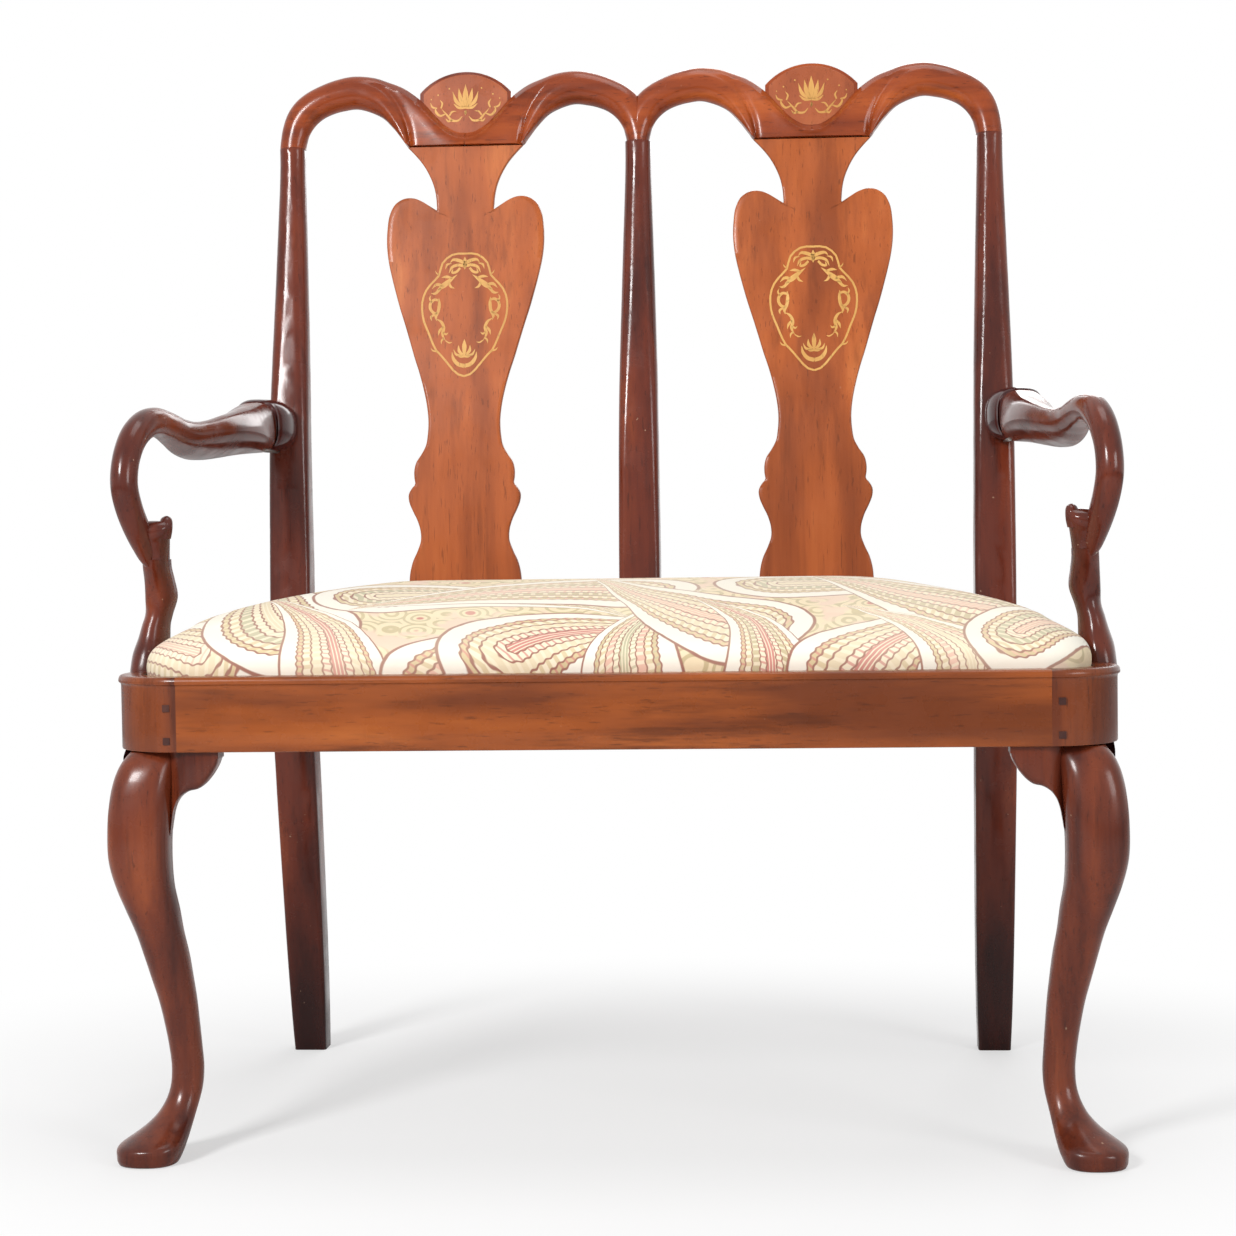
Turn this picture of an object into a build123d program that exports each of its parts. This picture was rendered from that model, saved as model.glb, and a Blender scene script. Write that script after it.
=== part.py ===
from build123d import *
from math import atan2, cos, pi, radians, sin, tan
import os

os.makedirs("parts", exist_ok=True)

# A two-bay settee of carved mahogany with a drop-in seat. Lengths are millimetres.
# The right-hand pieces are modelled, and the left-hand ones are their mirror images.

# Overall sizes.
seat_height = 433
front_width = 906            # across the front, to where the sloping sides would meet the front line
post_spacing = 724           # between the middles of the two outer rear posts
front_to_post = 433          # front rail's face to the rear posts' front faces
back_height = 520            # rear posts above the seat rails, up to the crest rails
back_rake = 60               # how far the posts' tops lie behind their seat blocks
leg_rake = 63                # how far the rear feet lie behind the seat blocks
post_splay = 2               # how far each outer post leans outwards by its top
crest_lean = radians(7)      # backward lean of the crest rails
cut_overrun = 12             # how far cuts and trimming blocks run past the wood

# Seat rails.
rail_height = 66
rail_thickness = 34
corner_radius = 62
lip_height = 7
lip_overhang = 2
lip_width = 20               # flat top of the rails, outside the drop-in seat
ledge_depth = 12             # the drop-in seat's rebate, below the rails' top
rear_rail_thickness = 30
bearer_thickness = 14
bearer_height = 30
brace_width = 45
brace_thickness = 20
brace_drop = 5               # brace's top below the seat ledge
brace_tenon = 8

# Joints of the seat rails.
tenon_thickness = 10
tenon_height = 42
tenon_setback = 9            # front tenon's face behind the rail's face
front_tenon_length = 30
side_tenon_length = 23
rear_tenon_length = 12
mortise_play = 0.5           # how much deeper a mortise is than its tenon
peg_size = 5
peg_length = 24
peg_spacing = 29
peg_inset = 9                # pegs beyond the seam between the front rail and the leg
peg_proud = 0.4
tenon_drop = 8               # tenons' middle below the rail's middle

# Rear posts.
post_width = 42
post_depth = 38
post_tenon_width = 22
post_tenon_depth = 12
post_tenon_length = 20
crest_tenon_diameter = 12
crest_tenon_length = 16

# Rear leg: height share, rake share, width share, depth share, corner rounding share.
rear_leg_shares = (
    (0.00, 1.00, 0.80, 0.84, 0.12),
    (0.14, 0.86, 0.88, 0.90, 0.12),
    (0.35, 0.65, 0.94, 0.95, 0.12),
    (0.68, 0.32, 0.99, 1.00, 0.12),
    (1.00, 0.00, 1.00, 1.00, 0.12),
)

# Post above the seat: height share, rake share, width share, depth share, corner rounding share.
post_shares = (
    (0.00, 0.00, 1.00, 1.00, 0.12),
    (0.13, 0.01, 1.00, 0.96, 0.16),
    (0.32, 0.09, 0.98, 0.91, 0.22),
    (0.44, 0.19, 0.96, 0.88, 0.28),
    (0.53, 0.32, 0.93, 0.86, 0.34),
    (0.62, 0.47, 0.88, 0.83, 0.40),
    (0.745, 0.67, 0.79, 0.78, 0.44),
    (0.86, 0.84, 0.70, 0.74, 0.44),
    (1.00, 1.00, 0.63, 0.72, 0.44),
)

# Crest rails.
crest_rise = 76              # top of the humps above the post tops
tube_size = 34               # thickness of the rounded rail at a hump, seen from the front
crest_depth = 30
fascia_half_width = 61
fascia_thickness = 22
fascia_dip = 14              # lowest place of the fascia's dished top edge, above the post tops
fascia_width_share = 0.39    # half width of the fascia's upper part, as a share of half a bay
fascia_waist_share = 0.45    # heights of the fascia's corners, as shares of the crest's rise
fascia_top_share = 0.60
tablet_half_width = 48
tablet_rise = 79
tablet_corner_rise = 57
tablet_thickness = 14
tablet_setback = 7           # tablet's face behind the fascia's face
panel_margin = 2
panel_thickness = 1.5

# Rounded rail: place along the half bay share, height share, thickness share, depth share.
outer_tube_shares = (
    (1.000, 0.00, 0.78, 0.91),
    (0.997, 0.20, 0.82, 0.93),
    (0.965, 0.395, 0.91, 0.96),
    (0.917, 0.55, 0.97, 1.00),
    (0.848, 0.66, 1.00, 1.00),
    (0.762, 0.724, 1.01, 1.00),
    (0.663, 0.76, 1.01, 1.00),
    (0.555, 0.73, 1.04, 1.00),
    (0.470, 0.665, 1.06, 0.97),
    (0.392, 0.54, 1.12, 0.92),
    (0.310, 0.40, 1.14, 0.80),
)
inner_tube_shares = (
    (1.000, 0.00, 0.78, 0.91),
    (0.994, 0.13, 0.79, 0.93),
    (0.967, 0.31, 0.84, 0.96),
    (0.917, 0.52, 0.94, 1.00),
    (0.840, 0.665, 1.00, 1.00),
    (0.760, 0.745, 1.03, 1.00),
    (0.652, 0.775, 1.05, 1.00),
    (0.550, 0.74, 1.05, 1.00),
    (0.470, 0.67, 1.06, 0.97),
    (0.392, 0.54, 1.12, 0.92),
    (0.310, 0.40, 1.14, 0.80),
)
tube_rounding_share = 0.46

# Splats.
splat_half_width = 82.5
splat_thickness = 9
splat_seat = 10              # splat's foot above the rear rail's top, in the shoe's groove
tongue_half_width = 44
tongue_thickness = 5
tongue_height = 10

# Splat outline, from its foot to its nick, its ears' inner notch and its top:
# half-width share, height share.
splat_base_shares = ((0.71, 0.00), (0.71, 0.105))
splat_ogee_shares = ((0.71, 0.105), (0.64, 0.155), (0.555, 0.200), (0.63, 0.245), (0.705, 0.285), (0.63, 0.304))
splat_body_shares = (
    (0.63, 0.304), (0.64, 0.338), (0.54, 0.371), (0.453, 0.433), (0.57, 0.533), (0.82, 0.665),
    (1.00, 0.798), (0.962, 0.863), (0.82, 0.887), (0.655, 0.895), (0.47, 0.884), (0.365, 0.865),
)
splat_neck_shares = ((0.365, 0.865), (0.39, 0.912), (0.53, 0.961), (0.735, 1.00))

# Splat shoes.
shoe_half_length = 75
shoe_height = 32
shoe_depth = 24
shoe_top_depth = 16

# Inlay of the splats.
inlay_depth = 1.0
cartouche_half_width = 45
cartouche_height = 131
cartouche_low_share = 0.525      # cartouche's bottom, as a share of the splat's height
cartouche_line_share = 0.95      # inner edge of the pale line, as a share of its outer edge
cartouche_right_shares = (
    (0.00, 0.00), (0.38, 0.10), (0.64, 0.20), (0.84, 0.34), (0.99, 0.53), (0.90, 0.69),
    (0.61, 0.81), (0.55, 0.92), (0.30, 0.98), (0.00, 1.00),
)
wreath_half_width = 26
wreath_half_height = 40
wreath_leaf_length = 16
wreath_leaf_width = 5
wreath_leaves = 12

# Inlay of the tablets.
bloom_height = 22
bloom_half_width = 12
bloom_base_rise = 40
bloom_shares = (
    (0.00, 0.00), (0.60, 0.25), (1.00, 1.00), (0.55, 0.62), (0.40, 0.95), (0.22, 0.62), (0.00, 1.10),
)
dot_radius = 1.2
dot_ring_share = 0.80            # ring of dots, as a share of the tablet's own arc
dots_per_side = 2
dot_turn = radians(22)

# Front legs.
knee_width = 55
ankle_inset = 53.5
foot_advance = 8                 # how far the foot turns further forwards than sideways
# Height share, inset share, width share, corner rounding share, advance share.
front_leg_shares = (
    (1.000, 0.57, 1.10, 0.36, 0.0),
    (0.925, 0.53, 1.06, 0.34, 0.0),
    (0.845, 0.45, 1.045, 0.32, 0.0),
    (0.785, 0.41, 1.00, 0.32, 0.0),
    (0.730, 0.42, 0.98, 0.32, 0.0),
    (0.670, 0.475, 0.91, 0.34, 0.0),
    (0.610, 0.56, 0.845, 0.36, 0.0),
    (0.550, 0.655, 0.755, 0.38, 0.0),
    (0.470, 0.775, 0.68, 0.42, 0.0),
    (0.380, 0.88, 0.61, 0.45, 0.0),
    (0.290, 0.955, 0.555, 0.47, 0.0),
    (0.207, 1.00, 0.527, 0.48, 0.0),
)
front_foot_shares = (
    (0.207, 1.00, 0.527, 0.48, 0.0),
    (0.147, 0.955, 0.536, 0.48, 0.1),
    (0.117, 0.88, 0.58, 0.48, 0.3),
    (0.087, 0.765, 0.70, 0.47, 0.6),
    (0.060, 0.615, 0.945, 0.46, 1.0),
    (0.033, 0.505, 1.045, 0.45, 1.0),
    (0.000, 0.47, 0.90, 0.45, 1.0),
)
bracket_length = 42
bracket_height = 50
bracket_thickness = 24
bracket_toe = 6

# Arms with their crooks.
arm_reach = 338                  # from the arm's rear end to the foremost part of the crook's run
crook_overhang = 8               # crook's outermost run, further out than the support's top
arm_rise = 228                   # run of the arm's rear end above the seat rails
arm_width = 52
arm_depth = 52
arm_start = 35                   # arm's rear end, ahead of the rear post's front face at the seat
arm_offset = 24                  # arm's rear end, outside the post's middle
# Forward share, outward share, height share, width share, depth share, corner rounding share.
arm_shares = (
    (0.000, 0.00, 1.000, 0.73, 1.00, 0.34),
    (0.170, 0.12, 0.982, 0.885, 0.81, 0.34),
    (0.380, 0.32, 0.947, 1.00, 0.65, 0.34),
    (0.540, 0.48, 0.908, 0.92, 0.58, 0.36),
    (0.660, 0.56, 0.930, 0.73, 0.56, 0.40),
    (0.763, 0.68, 0.980, 0.577, 0.54, 0.45),
    (0.858, 0.78, 1.000, 0.52, 0.52, 0.47),
    (0.947, 0.90, 0.943, 0.52, 0.52, 0.47),
    (0.994, 1.00, 0.785, 0.52, 0.52, 0.47),
    (0.976, 0.94, 0.623, 0.50, 0.54, 0.45),
    (0.930, 0.86, 0.513, 0.48, 0.60, 0.42),
    (0.882, 0.79, 0.443, 0.48, 0.70, 0.38),
)
nub_shares = (
    (0.845, 0.70, 0.443, 0.33, 0.40, 0.42),
    (0.832, 0.70, 0.540, 0.29, 0.30, 0.44),
    (0.828, 0.70, 0.625, 0.15, 0.15, 0.46),
)

# Arm blocks, between an arm's rear end and its post.
block_width = 54
block_height = 78
block_back = 62                  # from the arm's rear end back to the block's rear face
# Back share, outward share of the width, rise share of the height, width share, height share, rounding share.
block_shares = (
    (0.00, 0.00, 0.00, 0.70, 0.667, 0.34),
    (0.28, -0.11, -0.077, 0.89, 0.90, 0.40),
    (0.62, -0.167, -0.128, 1.00, 1.00, 0.44),
    (1.00, -0.167, -0.128, 0.93, 0.92, 0.44),
)

# Arm supports.
support_rise = 101               # top of the support above the seat rails
support_drop = 45                # foot of the support below the seat rails' top
support_width = 33
support_depth = 62
support_setback = 106            # middle of the support's top behind the front rail's face
support_inset = 7.9              # middle of the support's top inside the side rail's face
# Height share, back shift share of the depth, outward shift share of the width, width, depth, rounding.
support_upper_shares = (
    (1.00, 0.00, -0.09, 0.76, 0.74, 0.34),
    (0.73, 0.22, -0.045, 0.85, 0.66, 0.36),
    (0.42, 0.32, 0.03, 0.94, 0.82, 0.36),
    (0.12, 0.26, 0.15, 0.98, 1.00, 0.38),
    (0.00, 0.21, 0.21, 1.00, 1.00, 0.38),
)
support_lower_shares = (
    (0.00, 0.21, 0.21, 1.00, 1.00, 0.38),
    (-0.50, 0.12, 0.27, 0.94, 0.78, 0.40),
    (-1.00, 0.02, 0.36, 0.55, 0.34, 0.44),
)

# Corner blocks under the drop-in seat.
corner_block_reach = 52
corner_block_height = 38
corner_block_drop = 3

# Screws.
screw_diameter = 4
screw_head_diameter = 8
screw_head_height = 2.4
support_screw_spacing = 22
support_screw_drop = 17
support_screw_length = 42
arm_screw_length = 100
arm_screw_spacing = 30
arm_screw_offset = 11            # arm screws outside the post's middle
arm_screw_sink = 2               # arm screw heads below the post's rear face
corner_screw_length = 38
corner_screw_share = 0.42        # corner screws' place along the block's reach
corner_screw_depth = 4           # how far their heads lie in from the block's sloping face

# Drop-in seat.
seat_gap = 1.5                   # between the drop-in seat and the rails' lip
seat_clearance = 0.3             # under the drop-in seat's frame
frame_thickness = 20
frame_width = 55
cover_thickness = 1.5
crown_height = 82                # top of the cushion above the seat ledge
skirt_height = 24                # upright sides of the cushion, round its frame and cloths
crown_inset = 185
# Height share above the sides, inset share.
crown_shares = (
    (0.00, 0.00),
    (0.17, 0.045),
    (0.41, 0.19),
    (0.65, 0.385),
    (0.82, 0.61),
    (0.93, 0.82),
    (1.00, 1.00),
)
back_gap = 3.2                   # between the drop-in seat and the posts
back_corner_radius = 10
web_width = 50
web_thickness = 1.2
webs_across = 4
webs_deep = 8
base_cloth_thickness = 1
cloth_margin = 8
dust_cover_thickness = 0.8
dust_cover_margin = 18
tack_diameter = 1.6
tack_head_diameter = 5
tack_head_height = 1
tack_length = 9
tack_margin = 6
tacks_across = 11
tacks_deep = 5

# Places worked out from those sizes. The origin lies on the floor under the middle of the settee.
hump_back = crest_rise * sin(crest_lean) + crest_depth / 2 * cos(crest_lean)
back_reach = front_to_post + post_depth / 2 + back_rake + hump_back
foot_width = knee_width * front_foot_shares[-2][2]
foot_middle = ankle_inset * front_foot_shares[-2][1] - foot_advance
front_reach = foot_width / 2 - foot_middle
front_y = (front_reach - back_reach) / 2
post_face_y = front_y + front_to_post
post_y = post_face_y + post_depth / 2
post_x = post_spacing / 2
bay_x = post_spacing / 4
rail_bottom = seat_height - rail_height
ledge_height = seat_height - ledge_depth
back_top = seat_height + back_height
crest_y = post_y + back_rake
post_outer_x = post_x + post_width / 2
side_slope = atan2(front_width / 2 - post_outer_x, front_to_post)
crest_up = Vector(0, sin(crest_lean), cos(crest_lean))
crest_out = Vector(0, -cos(crest_lean), sin(crest_lean))
level_run = Vector(0, 0, 1)
across_axis = Vector(1, 0, 0)
tenon_middle = rail_bottom + rail_height / 2 - tenon_drop


def write_out(name, piece):
    """Label a finished piece and write it to its own file."""
    piece.part.label = name
    export_step(piece.part, f"parts/{name}.step")


def write_pair(name, piece):
    """Write a right-hand piece, and its mirror image for the left."""
    write_out(f"right_{name}", piece)
    with BuildPart() as twin:
        mirror(piece.part, about=Plane.YZ)
    write_out(f"left_{name}", twin)


def member(stations, side_axis, first_run=None, last_run=None, every_run=None):
    """Loft rounded sections through stations, each section square to the run of its neighbours.

    A station is a place, a width along the side axis, a depth and the rounding share of its corners.
    """
    with BuildPart() as blank:
        last = len(stations) - 1
        for index, (place, width, depth, rounding_share) in enumerate(stations):
            run = Vector(stations[min(index + 1, last)][0]) - Vector(stations[max(index - 1, 0)][0])
            if index == 0 and first_run:
                run = first_run
            if index == last and last_run:
                run = last_run
            if every_run:
                run = every_run
            with BuildSketch(Plane(origin=place, x_dir=side_axis, z_dir=run)):
                RectangleRounded(width, depth, rounding_share * min(width, depth))
        loft()
    return blank.part


def outer_side_x(behind_front):
    """Half the seat's width at a distance behind the front rail's face."""
    return front_width / 2 - behind_front * tan(side_slope)


def seat_plan(level, inset, back, back_radius):
    """The seat's outline at a level, drawn in from the rails' faces, with rounded front corners."""
    front = front_y + inset
    draw_in = inset / cos(side_slope)
    front_x = outer_side_x(inset) - draw_in
    back_x = outer_side_x(back - front_y) - draw_in
    with BuildSketch(Plane.XY.offset(level)) as plan:
        with BuildLine():
            Polyline((front_x, front), (back_x, back), (-back_x, back), (-front_x, front), close=True)
        make_face()
        fillet(plan.vertices().group_by(Axis.Y)[0], corner_radius ** 2 / (corner_radius + inset))
        fillet(plan.vertices().group_by(Axis.Y)[-1], back_radius)
    return plan.sketch


def trim_block(x_low, x_high, y_low, y_high, z_low, z_high):
    """A plain block between six planes, for cuts and for trimming."""
    with BuildPart() as block:
        with Locations(((x_low + x_high) / 2, (y_low + y_high) / 2, (z_low + z_high) / 2)):
            Box(x_high - x_low, y_high - y_low, z_high - z_low)
    return block.part


def screws(places, directions, length):
    """Plain countersunk screws, each from the middle of its head's face along its direction."""
    with BuildPart() as group:
        for place, direction in zip(places, directions):
            head_plane = Plane(origin=place, z_dir=direction)
            with BuildSketch(head_plane):
                Circle(screw_head_diameter / 2)
            with BuildSketch(head_plane.offset(screw_head_height)):
                Circle(screw_diameter / 2)
            loft()
            with BuildSketch(head_plane.offset(screw_head_height)):
                Circle(screw_diameter / 2)
            extrude(amount=length - screw_head_height)
    return group


# Seat frame blank: a plan as deep as the posts' faces, with a lip, and the drop-in seat's rebate.
back_run = post_face_y + cut_overrun
rail_plan = seat_plan(rail_bottom, 0, back_run, back_corner_radius)
lip_plan = seat_plan(seat_height - lip_height, -lip_overhang, back_run, back_corner_radius)
well_plan = seat_plan(rail_bottom, rail_thickness, back_run + cut_overrun, back_corner_radius)
rebate_plan = seat_plan(ledge_height, lip_width, back_run + cut_overrun, back_corner_radius)
with BuildPart() as seat_slab:
    extrude(rail_plan, amount=rail_height)
    extrude(lip_plan, amount=lip_height)
    extrude(rebate_plan, amount=ledge_depth, mode=Mode.SUBTRACT)
with BuildPart() as seat_ring:
    add(seat_slab.part)
    extrude(well_plan, amount=rail_height, mode=Mode.SUBTRACT)

# Joints of the seat frame.
seam_x = outer_side_x(corner_radius) - corner_radius / cos(side_slope)
leg_outer_x = seam_x + corner_radius
leg_back_y = front_y + corner_radius * (1 + sin(side_slope))
tenon_low = tenon_middle - tenon_height / 2
tenon_high = tenon_middle + tenon_height / 2
front_tenon_y = front_y + tenon_setback
side_tenon_x = leg_outer_x - rail_thickness / 2
rear_side_tenon_x = post_outer_x - rail_thickness / 2
rear_rail_y = post_y
brace_top = ledge_height - brace_drop
rear_front_y = rear_rail_y - rear_rail_thickness / 2
rear_back_y = rear_rail_y + rear_rail_thickness / 2
bearer_front_y = rear_front_y - bearer_thickness
bearer_half_length = post_x - post_width / 2 - seat_gap

# Screws of the arm supports, through the side rails.
support_y = front_y + support_setback
support_x = outer_side_x(support_setback) - support_inset
support_screw_z = seat_height - support_screw_drop - screw_head_diameter / 2
support_screw_places = []
for step in (-0.5, 0.5):
    behind_front = support_setback + support_depth / 8 + step * support_screw_spacing
    support_screw_places.append((outer_side_x(behind_front) - rail_thickness / cos(side_slope),
                                 front_y + behind_front, support_screw_z))
right_support_screws = screws(support_screw_places, [(1, 0, 0), (1, 0, 0)], support_screw_length)

# Corner blocks, glued and screwed inside the seat frame, worked out before the rails that they are screwed to.
block_top = ledge_height - corner_block_drop
block_low = block_top - corner_block_height
block_level = (block_top + block_low) / 2
front_inner_y = front_y + rail_thickness


def inner_side_x(y):
    """The side rail's inner face at a place behind the front."""
    return outer_side_x(y - front_y) - rail_thickness / cos(side_slope)


def corner_block(outline):
    """A block of the seat frame's inner corner, from its outline seen from above."""
    with BuildPart() as block:
        with BuildSketch(Plane.XY.offset(block_low)):
            with BuildLine():
                Polyline(*outline, close=True)
            make_face()
        extrude(amount=corner_block_height)
    return block.part


def slope_place(start, end, share):
    """A place along the sloping face of a corner block."""
    return Vector(start) + (Vector(end) - Vector(start)) * share


front_slope = ((seam_x - corner_block_reach, front_inner_y),
               (inner_side_x(leg_back_y + corner_block_reach), leg_back_y + corner_block_reach))
front_block_outline = [front_slope[0], (seam_x, front_inner_y), (seam_x, leg_back_y),
                       (inner_side_x(leg_back_y), leg_back_y), front_slope[1]]
back_slope = ((bearer_half_length - corner_block_reach, bearer_front_y),
              (inner_side_x(post_face_y - corner_block_reach), post_face_y - corner_block_reach))
back_block_outline = [back_slope[0], (bearer_half_length, bearer_front_y), (bearer_half_length, post_face_y),
                      (inner_side_x(post_face_y), post_face_y), back_slope[1]]
corner_screw_places = []
for slope, inward in ((front_slope, 1), (back_slope, -1)):
    near_rail = slope_place(*slope, corner_screw_share)
    near_side = slope_place(*slope, 1 - corner_screw_share)
    corner_screw_places.append((near_rail.X, near_rail.Y - inward * corner_screw_depth, block_level))
    corner_screw_places.append((near_side.X + corner_screw_depth, near_side.Y, block_level))
corner_screw_ways = [(0, -1, 0), (1, 0, 0), (0, 1, 0), (1, 0, 0)]
right_corner_screws = screws(corner_screw_places, corner_screw_ways, corner_screw_length)


def front_tenon(play):
    """The front rail's tenon in the right-hand leg."""
    return trim_block(seam_x, seam_x + front_tenon_length + play, front_tenon_y,
                      front_tenon_y + tenon_thickness, tenon_low, tenon_high)


def side_front_tenon(play):
    """The side rail's tenon in the front leg."""
    return trim_block(side_tenon_x - tenon_thickness / 2, side_tenon_x + tenon_thickness / 2,
                      leg_back_y - side_tenon_length - play, leg_back_y, tenon_low, tenon_high)


def side_rear_tenon(play):
    """The side rail's tenon in the rear post."""
    return trim_block(rear_side_tenon_x - tenon_thickness / 2, rear_side_tenon_x + tenon_thickness / 2,
                      post_face_y, post_face_y + side_tenon_length + play, tenon_low, tenon_high)


def rear_tenon(play):
    """The rear rail's tenon in the right-hand post."""
    return trim_block(post_x - post_width / 2, post_x - post_width / 2 + rear_tenon_length + play,
                      rear_rail_y - tenon_thickness / 2, rear_rail_y + tenon_thickness / 2,
                      tenon_low, tenon_high)


def brace_tongue(y_low, y_high):
    """The middle brace's tongue, let into a rail."""
    return trim_block(-brace_width / 4, brace_width / 4, y_low, y_high, brace_top - brace_thickness, brace_top)


def pegs():
    """The four square pegs that lock the front rail's tenons."""
    with BuildPart() as group:
        for side in (-1, 1):
            for step in (-1, 1):
                place = (side * (seam_x + peg_inset), front_y - peg_proud + peg_length / 2,
                         tenon_middle + step * peg_spacing / 2)
                with Locations(place):
                    Box(peg_size, peg_length, peg_size)
    return group


with BuildPart() as corner_block_screws:
    add(right_corner_screws.part)
    mirror(right_corner_screws.part, about=Plane.YZ)
write_out("corner_block_screws", corner_block_screws)
for name, outline in (("front_corner_block", front_block_outline), ("rear_corner_block", back_block_outline)):
    block_blank = corner_block(outline)
    with BuildPart() as inner_block:
        add(block_blank)
        add(seat_ring.part, mode=Mode.SUBTRACT)
        add(right_corner_screws.part, mode=Mode.SUBTRACT)
        add(right_support_screws.part, mode=Mode.SUBTRACT)
    write_pair(name, inner_block)

front_joint_pegs = pegs()
write_out("front_joint_pegs", front_joint_pegs)

front_tenon_part = front_tenon(0)
front_tongue = brace_tongue(front_inner_y - brace_tenon, front_inner_y)
front_bounds = trim_block(-seam_x, seam_x, front_y - cut_overrun, front_inner_y, rail_bottom, seat_height)
with BuildPart() as front_seat_rail:
    add(seat_ring.part)
    add(front_bounds, mode=Mode.INTERSECT)
    add(front_tenon_part)
    mirror(front_tenon_part, about=Plane.YZ)
    add(front_joint_pegs.part, mode=Mode.SUBTRACT)
    add(front_tongue, mode=Mode.SUBTRACT)
    add(corner_block_screws.part, mode=Mode.SUBTRACT)
write_out("front_seat_rail", front_seat_rail)

# Side rail, with the holes for the screws of the arm support.
side_bounds = trim_block(0, front_width, leg_back_y, post_face_y, rail_bottom, seat_height)
side_tenon_parts = (side_front_tenon(0), side_rear_tenon(0))
with BuildPart() as side_rail:
    add(seat_ring.part)
    add(side_bounds, mode=Mode.INTERSECT)
    for tenon_part in side_tenon_parts:
        add(tenon_part)
    add(right_support_screws.part, mode=Mode.SUBTRACT)
    add(right_corner_screws.part, mode=Mode.SUBTRACT)
write_pair("side_rail", side_rail)

# Rear rail, with the bearer that the drop-in seat's back edge rests on.
rear_rail_part = trim_block(-(post_x - post_width / 2), post_x - post_width / 2, rear_front_y, rear_back_y,
                            rail_bottom, seat_height)
post_tenon_part = trim_block(-post_tenon_width / 2, post_tenon_width / 2, rear_rail_y - post_tenon_depth / 2,
                             rear_rail_y + post_tenon_depth / 2, seat_height - post_tenon_length, seat_height)
rear_tenon_part = rear_tenon(0)
with BuildPart() as rear_seat_rail:
    add(rear_rail_part)
    add(rear_tenon_part)
    mirror(rear_tenon_part, about=Plane.YZ)
    add(post_tenon_part, mode=Mode.SUBTRACT)
    add(corner_block_screws.part, mode=Mode.SUBTRACT)
write_out("rear_seat_rail", rear_seat_rail)

bearer_part = trim_block(-bearer_half_length, bearer_half_length, bearer_front_y, rear_front_y,
                         ledge_height - bearer_height, ledge_height)
rear_tongue = brace_tongue(bearer_front_y, bearer_front_y + brace_tenon)
brace_body = trim_block(-brace_width / 2, brace_width / 2, front_inner_y, bearer_front_y,
                        brace_top - brace_thickness, brace_top)
with BuildPart() as rear_seat_bearer:
    add(bearer_part)
    add(rear_tongue, mode=Mode.SUBTRACT)
    add(corner_block_screws.part, mode=Mode.SUBTRACT)
write_out("rear_seat_bearer", rear_seat_bearer)

with BuildPart() as seat_brace:
    add(brace_body)
    add(front_tongue)
    add(rear_tongue)
write_out("seat_brace", seat_brace)


# Rear posts.
def post_back_y(level):
    """The rear face of a back post at a level, between the stations beside it."""
    height_share = (level - seat_height) / back_height
    for below, above in zip(post_shares, post_shares[1:]):
        if below[0] <= height_share <= above[0]:
            part_way = (height_share - below[0]) / (above[0] - below[0])
            rake_share = below[1] + part_way * (above[1] - below[1])
            depth_share = below[3] + part_way * (above[3] - below[3])
    return post_y + back_rake * rake_share + post_depth * depth_share / 2


def back_place(x, height_share, rake_share, splay):
    """A place on the run of a back post above the seat."""
    return (x + splay * height_share, post_y + back_rake * rake_share, seat_height + back_height * height_share)


def back_stations(x, splay):
    """Stations of a back post from the seat rails up to the crest rails."""
    return [
        (back_place(x, height_share, rake_share, splay), post_width * width_share, post_depth * depth_share,
         rounding_share)
        for height_share, rake_share, width_share, depth_share, rounding_share in post_shares
    ]


rear_leg_stations = [
    ((post_x, post_y + leg_rake * rake_share, rail_bottom * height_share), post_width * width_share,
     post_depth * depth_share, rounding_share)
    for height_share, rake_share, width_share, depth_share, rounding_share in rear_leg_shares
]
rear_leg = member(rear_leg_stations, across_axis, every_run=level_run)
outer_post = member(back_stations(post_x, post_splay), across_axis, first_run=level_run, last_run=crest_up)
middle_post = member(back_stations(0, 0), across_axis, first_run=level_run, last_run=crest_up)
block_stations = [
    ((post_x, post_y, level), post_width, post_depth, post_shares[0][-1])
    for level in (rail_bottom, seat_height)
]
post_block = member(block_stations, across_axis, every_run=level_run)
side_rear_mortise = side_rear_tenon(mortise_play)
rear_mortise = rear_tenon(mortise_play)
outer_top = Vector(back_place(post_x, 1, 1, post_splay))
middle_top = Vector(back_place(0, 1, 1, 0))


block_middle = seat_height + arm_rise + block_shares[2][2] * block_height
arm_screw_places = [
    (post_x + arm_screw_offset, post_back_y(block_middle + step * arm_screw_spacing) - arm_screw_sink,
     block_middle + step * arm_screw_spacing)
    for step in (-0.5, 0.5)
]
right_arm_screws = screws(arm_screw_places, [(0, -1, 0), (0, -1, 0)], arm_screw_length)
with BuildPart() as arm_screw_holes:
    add(right_arm_screws.part)
    for place in arm_screw_places:
        with BuildSketch(Plane(origin=place, z_dir=(0, 1, 0))):
            Circle(screw_head_diameter / 2)
        extrude(amount=arm_screw_sink + cut_overrun)


def crest_tenon(top, length):
    """The round tenon on a post's top, let into the crest rails."""
    with BuildPart() as pin:
        with BuildSketch(Plane(origin=top, x_dir=across_axis, z_dir=crest_up)):
            Circle(crest_tenon_diameter / 2)
        extrude(amount=length)
    return pin.part


outer_pin = crest_tenon(outer_top, crest_tenon_length)
middle_pin = crest_tenon(middle_top, crest_tenon_length)
outer_socket = crest_tenon(outer_top, crest_tenon_length + mortise_play)
middle_socket = crest_tenon(middle_top, crest_tenon_length + mortise_play)

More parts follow.
